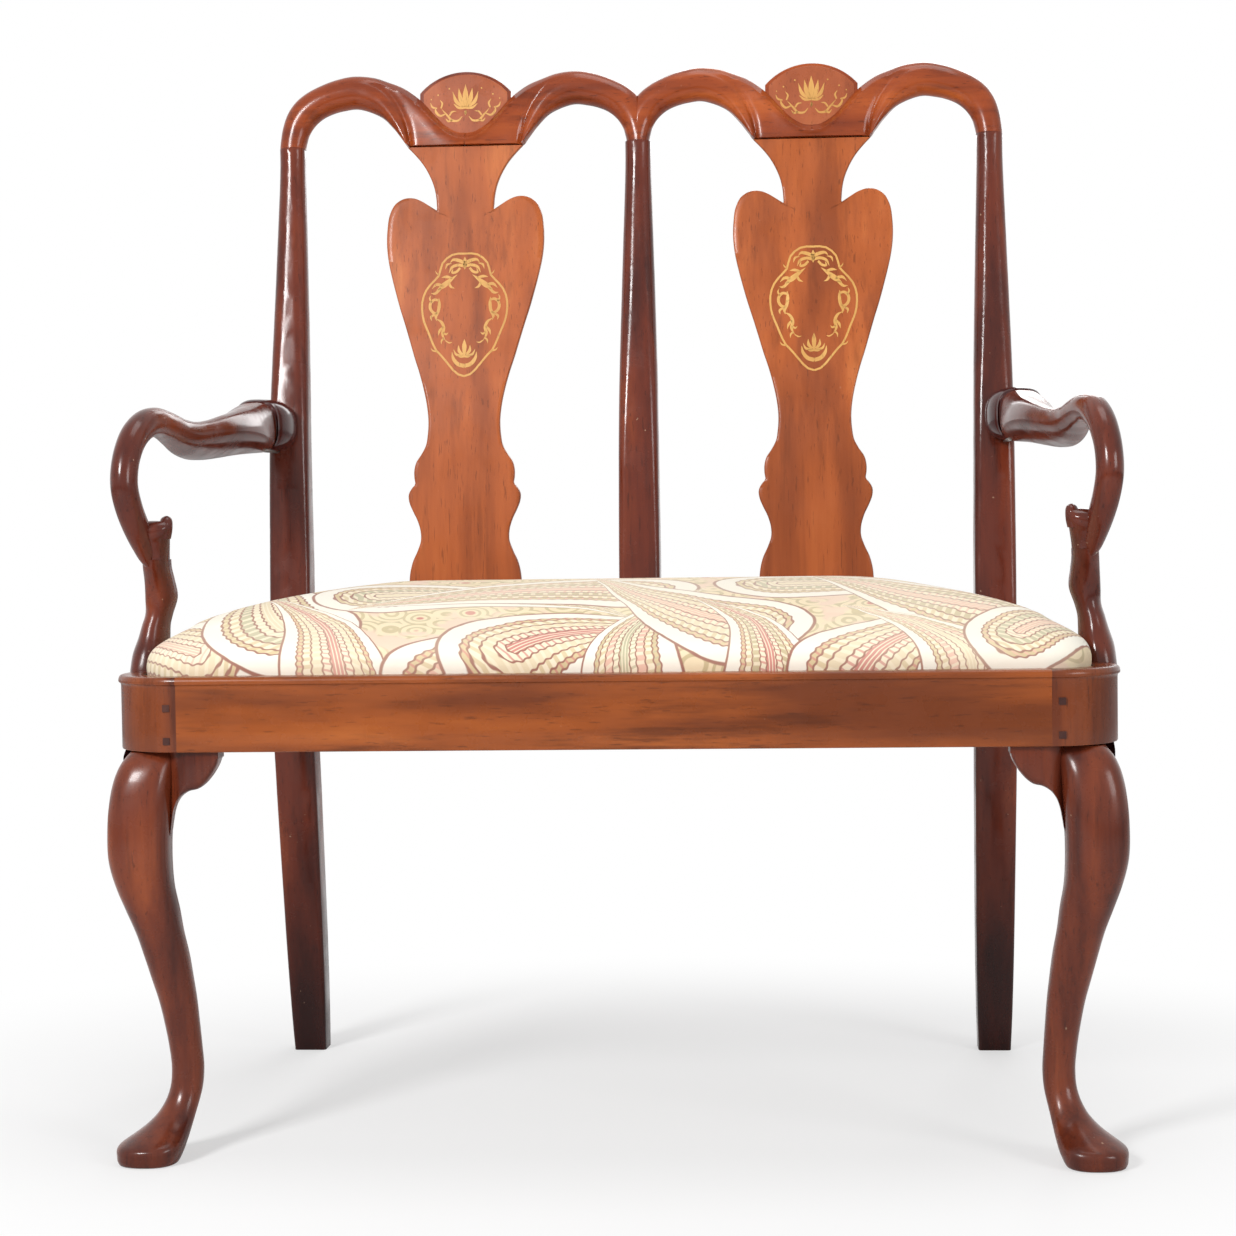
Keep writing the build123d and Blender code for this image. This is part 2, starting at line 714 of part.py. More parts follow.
with BuildPart() as rear_post:
    add(rear_leg)
    add(post_block)
    add(outer_post)
    add(outer_pin)
    add(arm_screw_holes.part, mode=Mode.SUBTRACT)
    add(side_rear_mortise, mode=Mode.SUBTRACT)
    add(rear_mortise, mode=Mode.SUBTRACT)
write_pair("rear_post", rear_post)

with BuildPart() as centre_post:
    add(middle_post)
    add(middle_pin)
    add(post_tenon_part)
write_out("centre_post", centre_post)

# Crest rail of the right-hand bay. Its own frame stands on the post tops and leans back with them.
crest_plane = Plane(origin=(bay_x, crest_y, back_top), x_dir=across_axis, z_dir=crest_out)


def crest_place(along, up):
    """A place on the crest's middle plane, from a distance along the bay and a height."""
    return crest_plane.from_local_coords(Vector(along, up, 0))


def tube_stations(shares, side, reach):
    """Stations of the rounded rail over one half of a bay."""
    return [
        (crest_place(side * reach * along_share, crest_rise * up_share), crest_depth * depth_share,
         tube_size * thick_share, tube_rounding_share)
        for along_share, up_share, thick_share, depth_share in shares
    ]


outer_tube = member(tube_stations(outer_tube_shares, 1, bay_x + post_splay), crest_out, first_run=crest_up)
inner_tube = member(tube_stations(inner_tube_shares, -1, bay_x), crest_out, first_run=crest_up)
with BuildSketch(crest_plane.offset(-fascia_thickness / 2)) as fascia_sketch:
    with BuildLine():
        foot_right = (fascia_half_width, 0)
        foot_left = (-fascia_half_width, 0)
        waist_right = (bay_x * fascia_width_share, crest_rise * fascia_waist_share)
        waist_left = (-bay_x * fascia_width_share, crest_rise * fascia_waist_share)
        top_right = (bay_x * fascia_width_share, crest_rise * fascia_top_share)
        top_left = (-bay_x * fascia_width_share, crest_rise * fascia_top_share)
        Line(foot_left, foot_right)
        Line(foot_right, waist_right)
        Line(waist_right, top_right)
        ThreePointArc(top_right, (0, fascia_dip), top_left)
        Line(top_left, waist_left)
        Line(waist_left, foot_left)
    make_face()
tablet_front = fascia_thickness / 2 - tablet_setback
with BuildSketch(crest_plane.offset(tablet_front - tablet_thickness)) as tablet_sketch:
    with BuildLine():
        corner_right = (tablet_half_width, tablet_corner_rise)
        corner_left = (-tablet_half_width, tablet_corner_rise)
        base_right = (tablet_half_width / 2, fascia_dip / 2)
        base_left = (-tablet_half_width / 2, fascia_dip / 2)
        ThreePointArc(corner_right, (0, tablet_rise), corner_left)
        Line(corner_left, base_left)
        Line(base_left, base_right)
        Line(base_right, corner_right)
    make_face()
panel_half_width = tablet_half_width - 2 * panel_margin
panel_low = fascia_dip + panel_margin
with BuildSketch(crest_plane.offset(tablet_front - panel_thickness)) as panel_sketch:
    with BuildLine():
        panel_right = (panel_half_width, tablet_corner_rise - panel_margin)
        panel_left = (-panel_half_width, tablet_corner_rise - panel_margin)
        ThreePointArc(panel_right, (0, tablet_rise - panel_margin), panel_left)
        ThreePointArc(panel_left, (0, panel_low), panel_right)
    make_face()
centre_trim = trim_block(-front_width, 0, -front_width, front_width, 0, back_top + front_width)


def splat_tongue(play):
    """The splat's top tongue, let into the crest rail."""
    with BuildPart() as tongue:
        with BuildSketch(crest_plane.offset(-tongue_thickness / 2)):
            with Locations((0, (tongue_height + play) / 2)):
                Rectangle(2 * tongue_half_width, tongue_height + play)
        extrude(amount=tongue_thickness)
    return tongue.part


# The flower of the tablet's inlay is one half outline and its mirror image, with dots along the arc.
with BuildSketch(crest_plane.offset(tablet_front - inlay_depth)) as bloom_sketch:
    with BuildLine():
        bloom_right = [(bloom_half_width * out_share, bloom_base_rise + bloom_height * up_share)
                       for out_share, up_share in bloom_shares]
        bloom_left = [(-x, y) for x, y in reversed(bloom_right[1:-1])]
        Polyline(*bloom_right, *bloom_left, close=True)
    make_face()
    arc_radius = (tablet_half_width ** 2 + (tablet_rise - tablet_corner_rise) ** 2) / (
        2 * (tablet_rise - tablet_corner_rise))
    for dot in range(1, dots_per_side + 1):
        for side in (-1, 1):
            turn = side * dot * dot_turn
            ring = arc_radius * dot_ring_share
            with Locations((ring * sin(turn), tablet_rise - arc_radius + ring * cos(turn))):
                Circle(dot_radius)

with BuildPart() as tablet_inlay:
    extrude(bloom_sketch.sketch, amount=inlay_depth, dir=crest_out)
write_pair("tablet_inlay", tablet_inlay)

with BuildPart() as tablet_panel:
    extrude(panel_sketch.sketch, amount=panel_thickness, dir=crest_out)
    add(tablet_inlay.part, mode=Mode.SUBTRACT)
write_pair("tablet_panel", tablet_panel)

tongue_socket = splat_tongue(mortise_play)
with BuildPart() as crest_rail:
    add(outer_tube)
    add(inner_tube)
    extrude(fascia_sketch.sketch, amount=fascia_thickness, dir=crest_out)
    extrude(tablet_sketch.sketch, amount=tablet_thickness, dir=crest_out)
    extrude(panel_sketch.sketch, amount=fascia_thickness, dir=crest_out, mode=Mode.SUBTRACT)
    add(outer_socket, mode=Mode.SUBTRACT)
    add(middle_socket, mode=Mode.SUBTRACT)
    add(tongue_socket, mode=Mode.SUBTRACT)
    add(centre_trim, mode=Mode.SUBTRACT)
write_pair("crest_rail", crest_rail)

# Splat: an outline seen from the front, cut from a board bent to the same line as the posts.
splat_low = seat_height + splat_seat
splat_height = back_top - splat_low


def splat_points(shares, side):
    """Points of the splat's outline on one side of its middle."""
    return [(bay_x + side * splat_half_width * out_share, splat_low + splat_height * up_share)
            for out_share, up_share in shares]


def bent_board(front_offset, thickness):
    """A slab that follows the back's line in side view, with its face ahead of that line."""
    front_line = []
    for height_share, rake_share, *_ in post_shares:
        place = back_place(0, height_share, rake_share, 0)
        front_line.append((place[1] - front_offset, place[2]))
    back_line = [(y + thickness, z) for y, z in front_line]
    with BuildPart() as board:
        with BuildSketch(Plane.YZ.offset(bay_x - splat_half_width - cut_overrun)):
            with BuildLine():
                Spline(*front_line)
                Line(front_line[-1], back_line[-1])
                Spline(*back_line)
                Line(back_line[0], front_line[0])
            make_face()
        extrude(amount=2 * (splat_half_width + cut_overrun))
    return board.part


front_plane = Plane(origin=(0, crest_y + cut_overrun + splat_thickness, 0), x_dir=across_axis, z_dir=(0, -1, 0))
board_reach = back_rake + 2 * (cut_overrun + splat_thickness)
with BuildSketch(front_plane) as splat_sketch:
    with BuildLine():
        for side in (-1, 1):
            Line(*splat_points(splat_base_shares, side))
            Spline(*splat_points(splat_ogee_shares, side))
            Spline(*splat_points(splat_body_shares, side))
            Spline(*splat_points(splat_neck_shares, side))
        Line(splat_points(splat_base_shares[:1], -1)[0], splat_points(splat_base_shares[:1], 1)[0])
        Line(splat_points(splat_neck_shares[-1:], -1)[0], splat_points(splat_neck_shares[-1:], 1)[0])
    make_face()


def cartouche(share):
    """The cartouche's outline on the splat, drawn to a share of its full size about its middle."""
    half_width = cartouche_half_width * share
    height = cartouche_height * share
    low = splat_low + splat_height * cartouche_low_share + (cartouche_height - height) / 2
    right = [(bay_x + half_width * out_share, low + height * up_share)
             for out_share, up_share in cartouche_right_shares]
    left = [(2 * bay_x - x, z) for x, z in right]
    with BuildSketch(front_plane) as shape:
        with BuildLine():
            Spline(*right)
            Spline(*left)
        make_face()
    return shape.sketch


cartouche_outer = cartouche(1)
cartouche_inner = cartouche(cartouche_line_share)
cartouche_middle = splat_low + splat_height * cartouche_low_share + cartouche_height / 2
with BuildSketch(front_plane) as leaf_sketch:
    for leaf in range(wreath_leaves):
        turn = 2 * pi * (leaf + 0.5) / wreath_leaves
        place = (bay_x + wreath_half_width * sin(turn), cartouche_middle + wreath_half_height * cos(turn))
        along = atan2(-wreath_half_height * sin(turn), wreath_half_width * cos(turn))
        with Locations(Location((place[0], place[1], 0), (0, 0, along * 180 / pi))):
            Ellipse(wreath_leaf_length / 2, wreath_leaf_width / 2)

splat_board = bent_board(splat_thickness / 2, splat_thickness)
inlay_board = bent_board(splat_thickness / 2, inlay_depth)
with BuildPart() as splat_inlay:
    extrude(cartouche_outer, amount=board_reach)
    extrude(cartouche_inner, amount=board_reach, mode=Mode.SUBTRACT)
    extrude(leaf_sketch.sketch, amount=board_reach)
    add(inlay_board, mode=Mode.INTERSECT)
write_pair("splat_inlay", splat_inlay)

top_tongue = splat_tongue(0)
with BuildPart() as splat:
    extrude(splat_sketch.sketch, amount=board_reach)
    add(splat_board, mode=Mode.INTERSECT)
    add(crest_rail.part, mode=Mode.SUBTRACT)
    add(top_tongue)
    add(splat_inlay.part, mode=Mode.SUBTRACT)
write_pair("splat", splat)

# Splat shoe, with the groove that the splat's foot stands in.
with BuildPart() as splat_shoe:
    with BuildSketch(Plane.YZ.offset(bay_x - shoe_half_length)):
        with BuildLine():
            Polyline((rear_rail_y - shoe_depth / 2, seat_height),
                     (rear_rail_y - shoe_top_depth / 2, seat_height + shoe_height),
                     (rear_rail_y + shoe_top_depth / 2, seat_height + shoe_height),
                     (rear_rail_y + shoe_depth / 2, seat_height), close=True)
        make_face()
    extrude(amount=2 * shoe_half_length)
    add(splat.part, mode=Mode.SUBTRACT)
write_pair("splat_shoe", splat_shoe)


# Front leg: the corner block, the cabriole below it and the pad foot.
def leg_stations(shares):
    """Level sections of the cabriole leg, set in from the corner along its diagonal."""
    return [
        ((leg_outer_x - ankle_inset * inset_share,
          front_y + ankle_inset * inset_share - foot_advance * advance_share, rail_bottom * height_share),
         knee_width * width_share, knee_width * width_share, rounding_share)
        for height_share, inset_share, width_share, rounding_share, advance_share in shares
    ]


cabriole = member(leg_stations(front_leg_shares), across_axis, every_run=level_run)
pad_foot = member(leg_stations(front_foot_shares), across_axis, every_run=level_run)
leg_bounds = trim_block(seam_x, front_width, front_y - cut_overrun, leg_back_y, rail_bottom, seat_height)
front_mortise = front_tenon(mortise_play)
side_front_mortise = side_front_tenon(mortise_play)
head_well_plan = seat_plan(block_top, rail_thickness, back_run, back_corner_radius)
with BuildPart() as leg_head:
    add(seat_slab.part)
    add(leg_bounds, mode=Mode.INTERSECT)
    extrude(head_well_plan, amount=rail_height, mode=Mode.SUBTRACT)
with BuildPart() as front_leg:
    add(cabriole)
    add(pad_foot)
    add(leg_head.part)
    add(front_mortise, mode=Mode.SUBTRACT)
    add(side_front_mortise, mode=Mode.SUBTRACT)
    add(front_joint_pegs.part, mode=Mode.SUBTRACT)
write_pair("front_leg", front_leg)


# Knee brackets, under the front rail and under the side rail.
def bracket(plane):
    """A curved bracket, drawn from the leg outwards on a plane whose x axis runs along the rail."""
    with BuildPart() as ear:
        with BuildSketch(plane):
            with BuildLine():
                Line((-bracket_thickness, 0), (bracket_length, 0))
                Line((bracket_length, 0), (bracket_length, -bracket_toe))
                RadiusArc((bracket_length, -bracket_toe), (0, -bracket_height), -bracket_height)
                Line((0, -bracket_height), (-bracket_thickness, -bracket_height))
                Line((-bracket_thickness, -bracket_height), (-bracket_thickness, 0))
            make_face()
        extrude(amount=bracket_thickness)
    return ear.part


bracket_setback = tenon_setback / 2
front_bracket_plane = Plane(origin=(seam_x, front_y + bracket_setback, rail_bottom), x_dir=(-1, 0, 0),
                            z_dir=(0, 1, 0))
side_bracket_plane = Plane(origin=(leg_outer_x - bracket_setback, leg_back_y - tenon_setback, rail_bottom),
                           x_dir=(0, 1, 0), z_dir=(1, 0, 0))
front_bracket_blank = bracket(front_bracket_plane)
side_bracket_blank = bracket(side_bracket_plane.offset(-bracket_thickness))
with BuildPart() as front_knee_bracket:
    add(front_bracket_blank)
    add(front_leg.part, mode=Mode.SUBTRACT)
write_pair("front_knee_bracket", front_knee_bracket)
with BuildPart() as side_knee_bracket:
    add(side_bracket_blank)
    add(front_leg.part, mode=Mode.SUBTRACT)
write_pair("side_knee_bracket", side_knee_bracket)

# Arm with its crook, from the block at the post to the joint on the arm support.
arm_back_y = post_face_y - arm_start
arm_back_x = post_x + arm_offset
arm_flare = support_x + crook_overhang - arm_back_x


def arm_stations(shares):
    """Stations along the arm's run, or along the small tip behind the crook's foot."""
    return [
        ((arm_back_x + arm_flare * out_share, arm_back_y - arm_reach * forward_share,
          seat_height + arm_rise * up_share),
         arm_width * width_share, arm_depth * depth_share, rounding_share)
        for forward_share, out_share, up_share, width_share, depth_share, rounding_share in shares
    ]


crook_arm = member(arm_stations(arm_shares), across_axis, first_run=Vector(0, -1, 0), last_run=Vector(0, 0, -1))
crook_nub = member(arm_stations(nub_shares), across_axis, every_run=level_run)
arm_block_stations = [
    ((arm_back_x + block_width * out_share, arm_back_y + block_back * back_share,
      seat_height + arm_rise + block_height * up_share),
     block_width * width_share, block_height * tall_share, rounding_share)
    for back_share, out_share, up_share, width_share, tall_share, rounding_share in block_shares
]
arm_block_blank = member(arm_block_stations, across_axis, every_run=Vector(0, 1, 0))


with BuildPart() as arm:
    add(crook_arm)
    add(crook_nub)
    add(right_arm_screws.part, mode=Mode.SUBTRACT)
write_pair("arm", arm)
with BuildPart() as arm_block:
    add(arm_block_blank)
    add(rear_post.part, mode=Mode.SUBTRACT)
    add(right_arm_screws.part, mode=Mode.SUBTRACT)
write_pair("arm_block", arm_block)


# Arm support: the post under the crook, whose foot laps the outside of the side rail.
def support_stations(shares):
    """Level sections of the arm support, above or below the seat rails' top."""
    return [
        ((support_x + support_width * out_share, support_y + support_depth * back_share,
          seat_height + (support_rise if up_share > 0 else support_drop) * up_share),
         support_width * width_share, support_depth * depth_share, rounding_share)
        for up_share, back_share, out_share, width_share, depth_share, rounding_share in shares
    ]


support_upper = member(support_stations(support_upper_shares), across_axis, every_run=level_run)
support_lower = member(support_stations(support_lower_shares), across_axis, every_run=level_run)
lap_plan = seat_plan(rail_bottom, -lip_overhang, back_run, back_corner_radius)
with BuildPart() as arm_support:
    add(support_upper)
    add(support_lower)
    extrude(lap_plan, amount=rail_height, mode=Mode.SUBTRACT)
    add(right_support_screws.part, mode=Mode.SUBTRACT)
write_pair("arm_support", arm_support)

# The screws of the arms and of the arm supports, both sides in one group each.
with BuildPart() as arm_screws:
    add(right_arm_screws.part)
    mirror(right_arm_screws.part, about=Plane.YZ)
write_out("arm_screws", arm_screws)
with BuildPart() as arm_support_screws:
    add(right_support_screws.part)
    mirror(right_support_screws.part, about=Plane.YZ)
write_out("arm_support_screws", arm_support_screws)

# Drop-in seat: its plan follows the rails' rebate, and its crown is drawn in step by step.
seat_level = ledge_height + seat_clearance
seat_inset = lip_width + seat_gap
seat_back_y = post_face_y - back_gap


def seat_layer(level, thickness, draw_in):
    """A flat layer of the drop-in seat, drawn in from its outline."""
    layer_plan = seat_plan(level, seat_inset + draw_in, seat_back_y - draw_in, back_corner_radius)
    with BuildPart() as layer:
        extrude(layer_plan, amount=thickness)
    return layer.part


def crown(draw_in):
    """The cushion's outer form, or the form inside its cover."""
    crown_rise = crown_height - skirt_height - draw_in
    sections = []
    for height_share, inset_share in crown_shares:
        draw = draw_in + crown_inset * inset_share
        sections.append(seat_plan(seat_level + skirt_height + crown_rise * height_share, seat_inset + draw,
                                  seat_back_y - draw, back_corner_radius))
    skirt = seat_layer(seat_level, skirt_height, draw_in)
    with BuildPart() as form:
        add(skirt)
        loft(sections=sections)
    return form.part


cover_form = crown(0)
stuffing_form = crown(cover_thickness)
frame_top = seat_level + frame_thickness
web_top = frame_top + 2 * web_thickness
cloth_top = web_top + base_cloth_thickness
with BuildPart() as seat_cover:
    add(cover_form)
    add(stuffing_form, mode=Mode.SUBTRACT)
write_out("seat_cover", seat_cover)
below_cloth = trim_block(-front_width, front_width, -front_width, front_width, 0, cloth_top)
with BuildPart() as seat_stuffing:
    add(stuffing_form)
    add(below_cloth, mode=Mode.SUBTRACT)
write_out("seat_stuffing", seat_stuffing)

# Tacks that hold the cloths to the frame's underside, in rows along its four sides.
tack_inset = dust_cover_margin + tack_margin
tack_front_y = front_y + seat_inset + tack_inset
tack_back_y = seat_back_y - tack_inset
tack_places = []
for row_y in (tack_front_y, tack_back_y):
    row_half = outer_side_x(row_y - front_y) - (seat_inset + tack_inset + corner_radius / 2) / cos(side_slope)
    for tack in range(tacks_across):
        tack_places.append((row_half * (2 * tack / (tacks_across - 1) - 1), row_y))
for tack in range(1, tacks_deep + 1):
    row_y = tack_front_y + (tack_back_y - tack_front_y) * tack / (tacks_deep + 1)
    row_x = outer_side_x(row_y - front_y) - (seat_inset + tack_inset) / cos(side_slope)
    tack_places += [(row_x, row_y), (-row_x, row_y)]
tack_level = seat_level - dust_cover_thickness
with BuildPart() as seat_tacks:
    with BuildSketch(Plane.XY.offset(tack_level - tack_head_height)):
        with Locations(*tack_places):
            Circle(tack_head_diameter / 2)
    extrude(amount=tack_head_height)
    with BuildSketch(Plane.XY.offset(tack_level)):
        with Locations(*tack_places):
            Circle(tack_diameter / 2)
    extrude(amount=tack_length)
write_out("seat_tacks", seat_tacks)

# Frame of the drop-in seat: half-lapped at its corners.
frame_layer = seat_layer(seat_level, frame_thickness, cover_thickness)
frame_well = seat_layer(seat_level, frame_thickness, cover_thickness + frame_width)
with BuildPart() as frame_ring:
    add(frame_layer)
    add(frame_well, mode=Mode.SUBTRACT)
    add(seat_tacks.part, mode=Mode.SUBTRACT)
well_front_y = front_y + seat_inset + cover_thickness + frame_width
well_back_y = seat_back_y - cover_thickness - frame_width
well_draw = (seat_inset + cover_thickness + frame_width) / cos(side_slope)
frame_middle = seat_level + frame_thickness / 2
far = front_width


def lap_block(y_low, y_high, y_corner, side):
    """The upper half of a corner lap, on one side of the frame."""
    lap_x = outer_side_x(y_corner - front_y) - well_draw
    low, high = sorted((side * lap_x, side * far))
    return trim_block(low, high, y_low, y_high, frame_middle, frame_top)


frame_ends = (("front", -far, well_front_y, well_front_y), ("back", well_back_y, far, well_back_y))
for name, y_low, y_high, y_corner in frame_ends:
    end_bounds = trim_block(-far, far, y_low, y_high, seat_level, frame_top)
    lap_parts = [lap_block(y_low, y_high, y_corner, side) for side in (-1, 1)]
    with BuildPart() as seat_frame_end:
        add(frame_ring.part)
        add(end_bounds, mode=Mode.INTERSECT)
        add(lap_parts, mode=Mode.SUBTRACT)
    write_out(f"seat_frame_{name}", seat_frame_end)
side_keep = trim_block(0, far, well_front_y, well_back_y, seat_level, frame_top)
side_laps = [lap_block(y_low, y_high, y_corner, 1) for _, y_low, y_high, y_corner in frame_ends]
with BuildPart() as side_zone:
    add(side_keep)
    add(side_laps)
with BuildPart() as seat_frame_side:
    add(frame_ring.part)
    add(side_zone.part, mode=Mode.INTERSECT)
write_pair("seat_frame_side", seat_frame_side)

# Webbing in two layers, the cloth above it and the dust cover below the frame.
web_bounds = seat_layer(frame_top, 2 * web_thickness, cloth_margin)
seat_depth = seat_back_y - front_y - seat_inset
web_middle_y = front_y + seat_inset + seat_depth / 2
with BuildPart() as seat_webbing_across:
    with BuildSketch(Plane.XY.offset(frame_top)):
        with Locations((0, web_middle_y)):
            with GridLocations(0, seat_depth / (webs_across + 1), 1, webs_across):
                Rectangle(front_width, web_width)
    extrude(amount=web_thickness)
    add(web_bounds, mode=Mode.INTERSECT)
write_out("seat_webbing_across", seat_webbing_across)
with BuildPart() as seat_webbing_deep:
    with BuildSketch(Plane.XY.offset(frame_top + web_thickness)):
        with Locations((0, web_middle_y)):
            with GridLocations(2 * outer_side_x(seat_depth) / (webs_deep + 1), 0, webs_deep, 1):
                Rectangle(web_width, front_width)
    extrude(amount=web_thickness)
    add(web_bounds, mode=Mode.INTERSECT)
write_out("seat_webbing_deep", seat_webbing_deep)
cloth_layer = seat_layer(web_top, base_cloth_thickness, cloth_margin)
with BuildPart() as seat_base_cloth:
    add(cloth_layer)
write_out("seat_base_cloth", seat_base_cloth)
dust_layer = seat_layer(tack_level, dust_cover_thickness, dust_cover_margin)
with BuildPart() as seat_dust_cover:
    add(dust_layer)
    add(seat_tacks.part, mode=Mode.SUBTRACT)
write_out("seat_dust_cover", seat_dust_cover)
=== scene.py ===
import bmesh
import bpy
import numpy as np
from mathutils import Matrix, Vector


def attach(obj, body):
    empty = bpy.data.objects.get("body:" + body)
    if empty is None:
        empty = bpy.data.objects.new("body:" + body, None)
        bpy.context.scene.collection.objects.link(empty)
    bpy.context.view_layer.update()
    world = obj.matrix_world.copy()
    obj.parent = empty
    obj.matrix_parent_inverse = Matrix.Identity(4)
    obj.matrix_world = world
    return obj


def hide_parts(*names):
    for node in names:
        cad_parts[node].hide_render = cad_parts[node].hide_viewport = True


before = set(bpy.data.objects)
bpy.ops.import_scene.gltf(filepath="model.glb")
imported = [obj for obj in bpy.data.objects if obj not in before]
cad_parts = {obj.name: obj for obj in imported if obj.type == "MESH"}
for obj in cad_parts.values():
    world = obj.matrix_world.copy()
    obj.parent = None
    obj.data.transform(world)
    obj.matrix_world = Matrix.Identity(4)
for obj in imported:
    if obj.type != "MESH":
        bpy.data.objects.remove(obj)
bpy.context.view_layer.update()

# Two-bay settee. Tables are in millimetres: X to the right, Y to the back, Z up.
MM = 0.001
FRONT = -263.2               # front rail's face
BAY = 181.0                  # middle of a bay, and of its splat
BACK_TOP = 953.0             # joint between the posts and the crest rails
LEAN = np.radians(7)


# Mesh helpers.
def smooth(knots, values, where):
    """Cubic pieces through the values, whose slopes at the knots are the slopes between their neighbours."""
    knots = np.asarray(knots, float)
    values = np.asarray(values, float).reshape(len(knots), -1)
    where = np.asarray(where, float)
    slopes = np.gradient(values, knots, axis=0)
    piece = np.clip(np.searchsorted(knots, where, side="right") - 1, 0, len(knots) - 2)
    run = (knots[piece + 1] - knots[piece])[:, None]
    t = (where - knots[piece])[:, None] / run
    return (values[piece] * (1 + 2 * t) * (1 - t) ** 2 + values[piece + 1] * t * t * (3 - 2 * t)
            + run * (slopes[piece] * t * (1 - t) ** 2 + slopes[piece + 1] * t * t * (t - 1)))


def along(points, count):
    """A curve through the points, sampled evenly by the distance between them."""
    points = np.asarray(points, float)
    knots = np.concatenate([[0], np.cumsum(np.linalg.norm(np.diff(points[:, :3], axis=0), axis=1))])
    return smooth(knots, points, np.linspace(0, knots[-1], count))


def back_y(z):
    """The back's middle line: upright at the seat, then swept back to the crest."""
    heights = (433, 500, 600, 662, 709, 755, 820, 880, 953)
    line = smooth(heights, (452, 452.6, 457.4, 463.4, 471.2, 480.2, 492.2, 502.4, 512), z)
    return FRONT + line[:, 0]


def grid_faces(rows, columns, wrap, start):
    """Quads between neighbouring rows and columns; with wrap the last column joins the first."""
    row, column = np.meshgrid(np.arange(rows - 1), np.arange(columns if wrap else columns - 1), indexing="ij")
    after = (column + 1) % columns
    quads = np.stack([row * columns + column, row * columns + after,
                      (row + 1) * columns + after, (row + 1) * columns + column], axis=-1)
    return (quads.reshape(-1, 4) + start).tolist()


def piece(name, grids, material, body="frame", replaced=(), slot=None, side=1, crease=34):
    """A closed surface from grids of points, each a loop of columns carried along its rows and closed at both ends."""
    corners, faces, count = [], [], 0
    for points in grids:
        points = np.asarray(points, float)
        rows, columns = points.shape[:2]
        faces += grid_faces(rows, columns, True, count)
        for row, tip in ((0, count + rows * columns), (rows - 1, count + rows * columns + 1)):
            ring = count + row * columns + np.arange(columns)
            faces += np.stack([ring, np.roll(ring, -1), np.full(columns, tip)], axis=1).tolist()
        corners.append(np.concatenate([points.reshape(-1, 3), points[:1].mean(axis=1), points[-1:].mean(axis=1)]))
        count += rows * columns + 2
    corners = np.concatenate(corners) * MM
    corners[:, 0] *= side
    mesh = bpy.data.meshes.new(name)
    mesh.from_pydata(corners.tolist(), [], faces)
    shell = bmesh.new()
    shell.from_mesh(mesh)
    bmesh.ops.remove_doubles(shell, verts=shell.verts, dist=1e-6)
    bmesh.ops.dissolve_degenerate(shell, edges=shell.edges, dist=1e-7)
    bmesh.ops.recalc_face_normals(shell, faces=shell.faces)
    shell.to_mesh(mesh)
    shell.free()
    mesh.polygons.foreach_set("use_smooth", np.ones(len(mesh.polygons), bool))
    mesh.set_sharp_from_angle(angle=np.radians(crease))
    made = bpy.data.objects.new(name, mesh)
    bpy.context.scene.collection.objects.link(made)
    made.data.materials.append(material)
    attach(made, body)
    if replaced:
        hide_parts(*replaced)
    return made


def oval(count, power):
    """Points of a rounded outline |a|^power + |b|^power = 1, as two arrays; power is an array of one per ring."""
    turn = np.linspace(0, 2 * np.pi, count, endpoint=False)[None, :]
    share = 2 / np.asarray(power, float).reshape(-1, 1)
    return (np.sign(np.cos(turn)) * np.abs(np.cos(turn)) ** share,
            np.sign(np.sin(turn)) * np.abs(np.sin(turn)) ** share)


def limb(stations, count=90, ring=40, level=False):
    """Rounded sections carried along a curve. A station is x, y, z, width, depth, power and turn in degrees.

    The width lies along X, squared to the curve and turned about it; level sections stay level.
    """
    rows = along(stations, count)
    place = rows[:, :3]
    run = np.gradient(place, axis=0)
    if level:
        run = np.tile([0.0, 0.0, 1.0], (count, 1))
    run /= np.linalg.norm(run, axis=1, keepdims=True)
    across = np.array([1.0, 0.0, 0.0]) - run * run[:, :1]
    across /= np.linalg.norm(across, axis=1, keepdims=True)
    deep = np.cross(run, across)
    turn = np.radians(rows[:, 6])[:, None]
    across, deep = across * np.cos(turn) + deep * np.sin(turn), deep * np.cos(turn) - across * np.sin(turn)
    a, b = oval(ring, rows[:, 5])
    return (place[:, None, :] + a[:, :, None] * across[:, None, :] * rows[:, 3, None, None] / 2
            + b[:, :, None] * deep[:, None, :] * rows[:, 4, None, None] / 2)


# Materials.
def nodes_of(name):
    """A new material's node tree and its shader."""
    made = bpy.data.materials.new(name)
    made.use_nodes = True
    return made, made.node_tree, made.node_tree.nodes["Principled BSDF"]


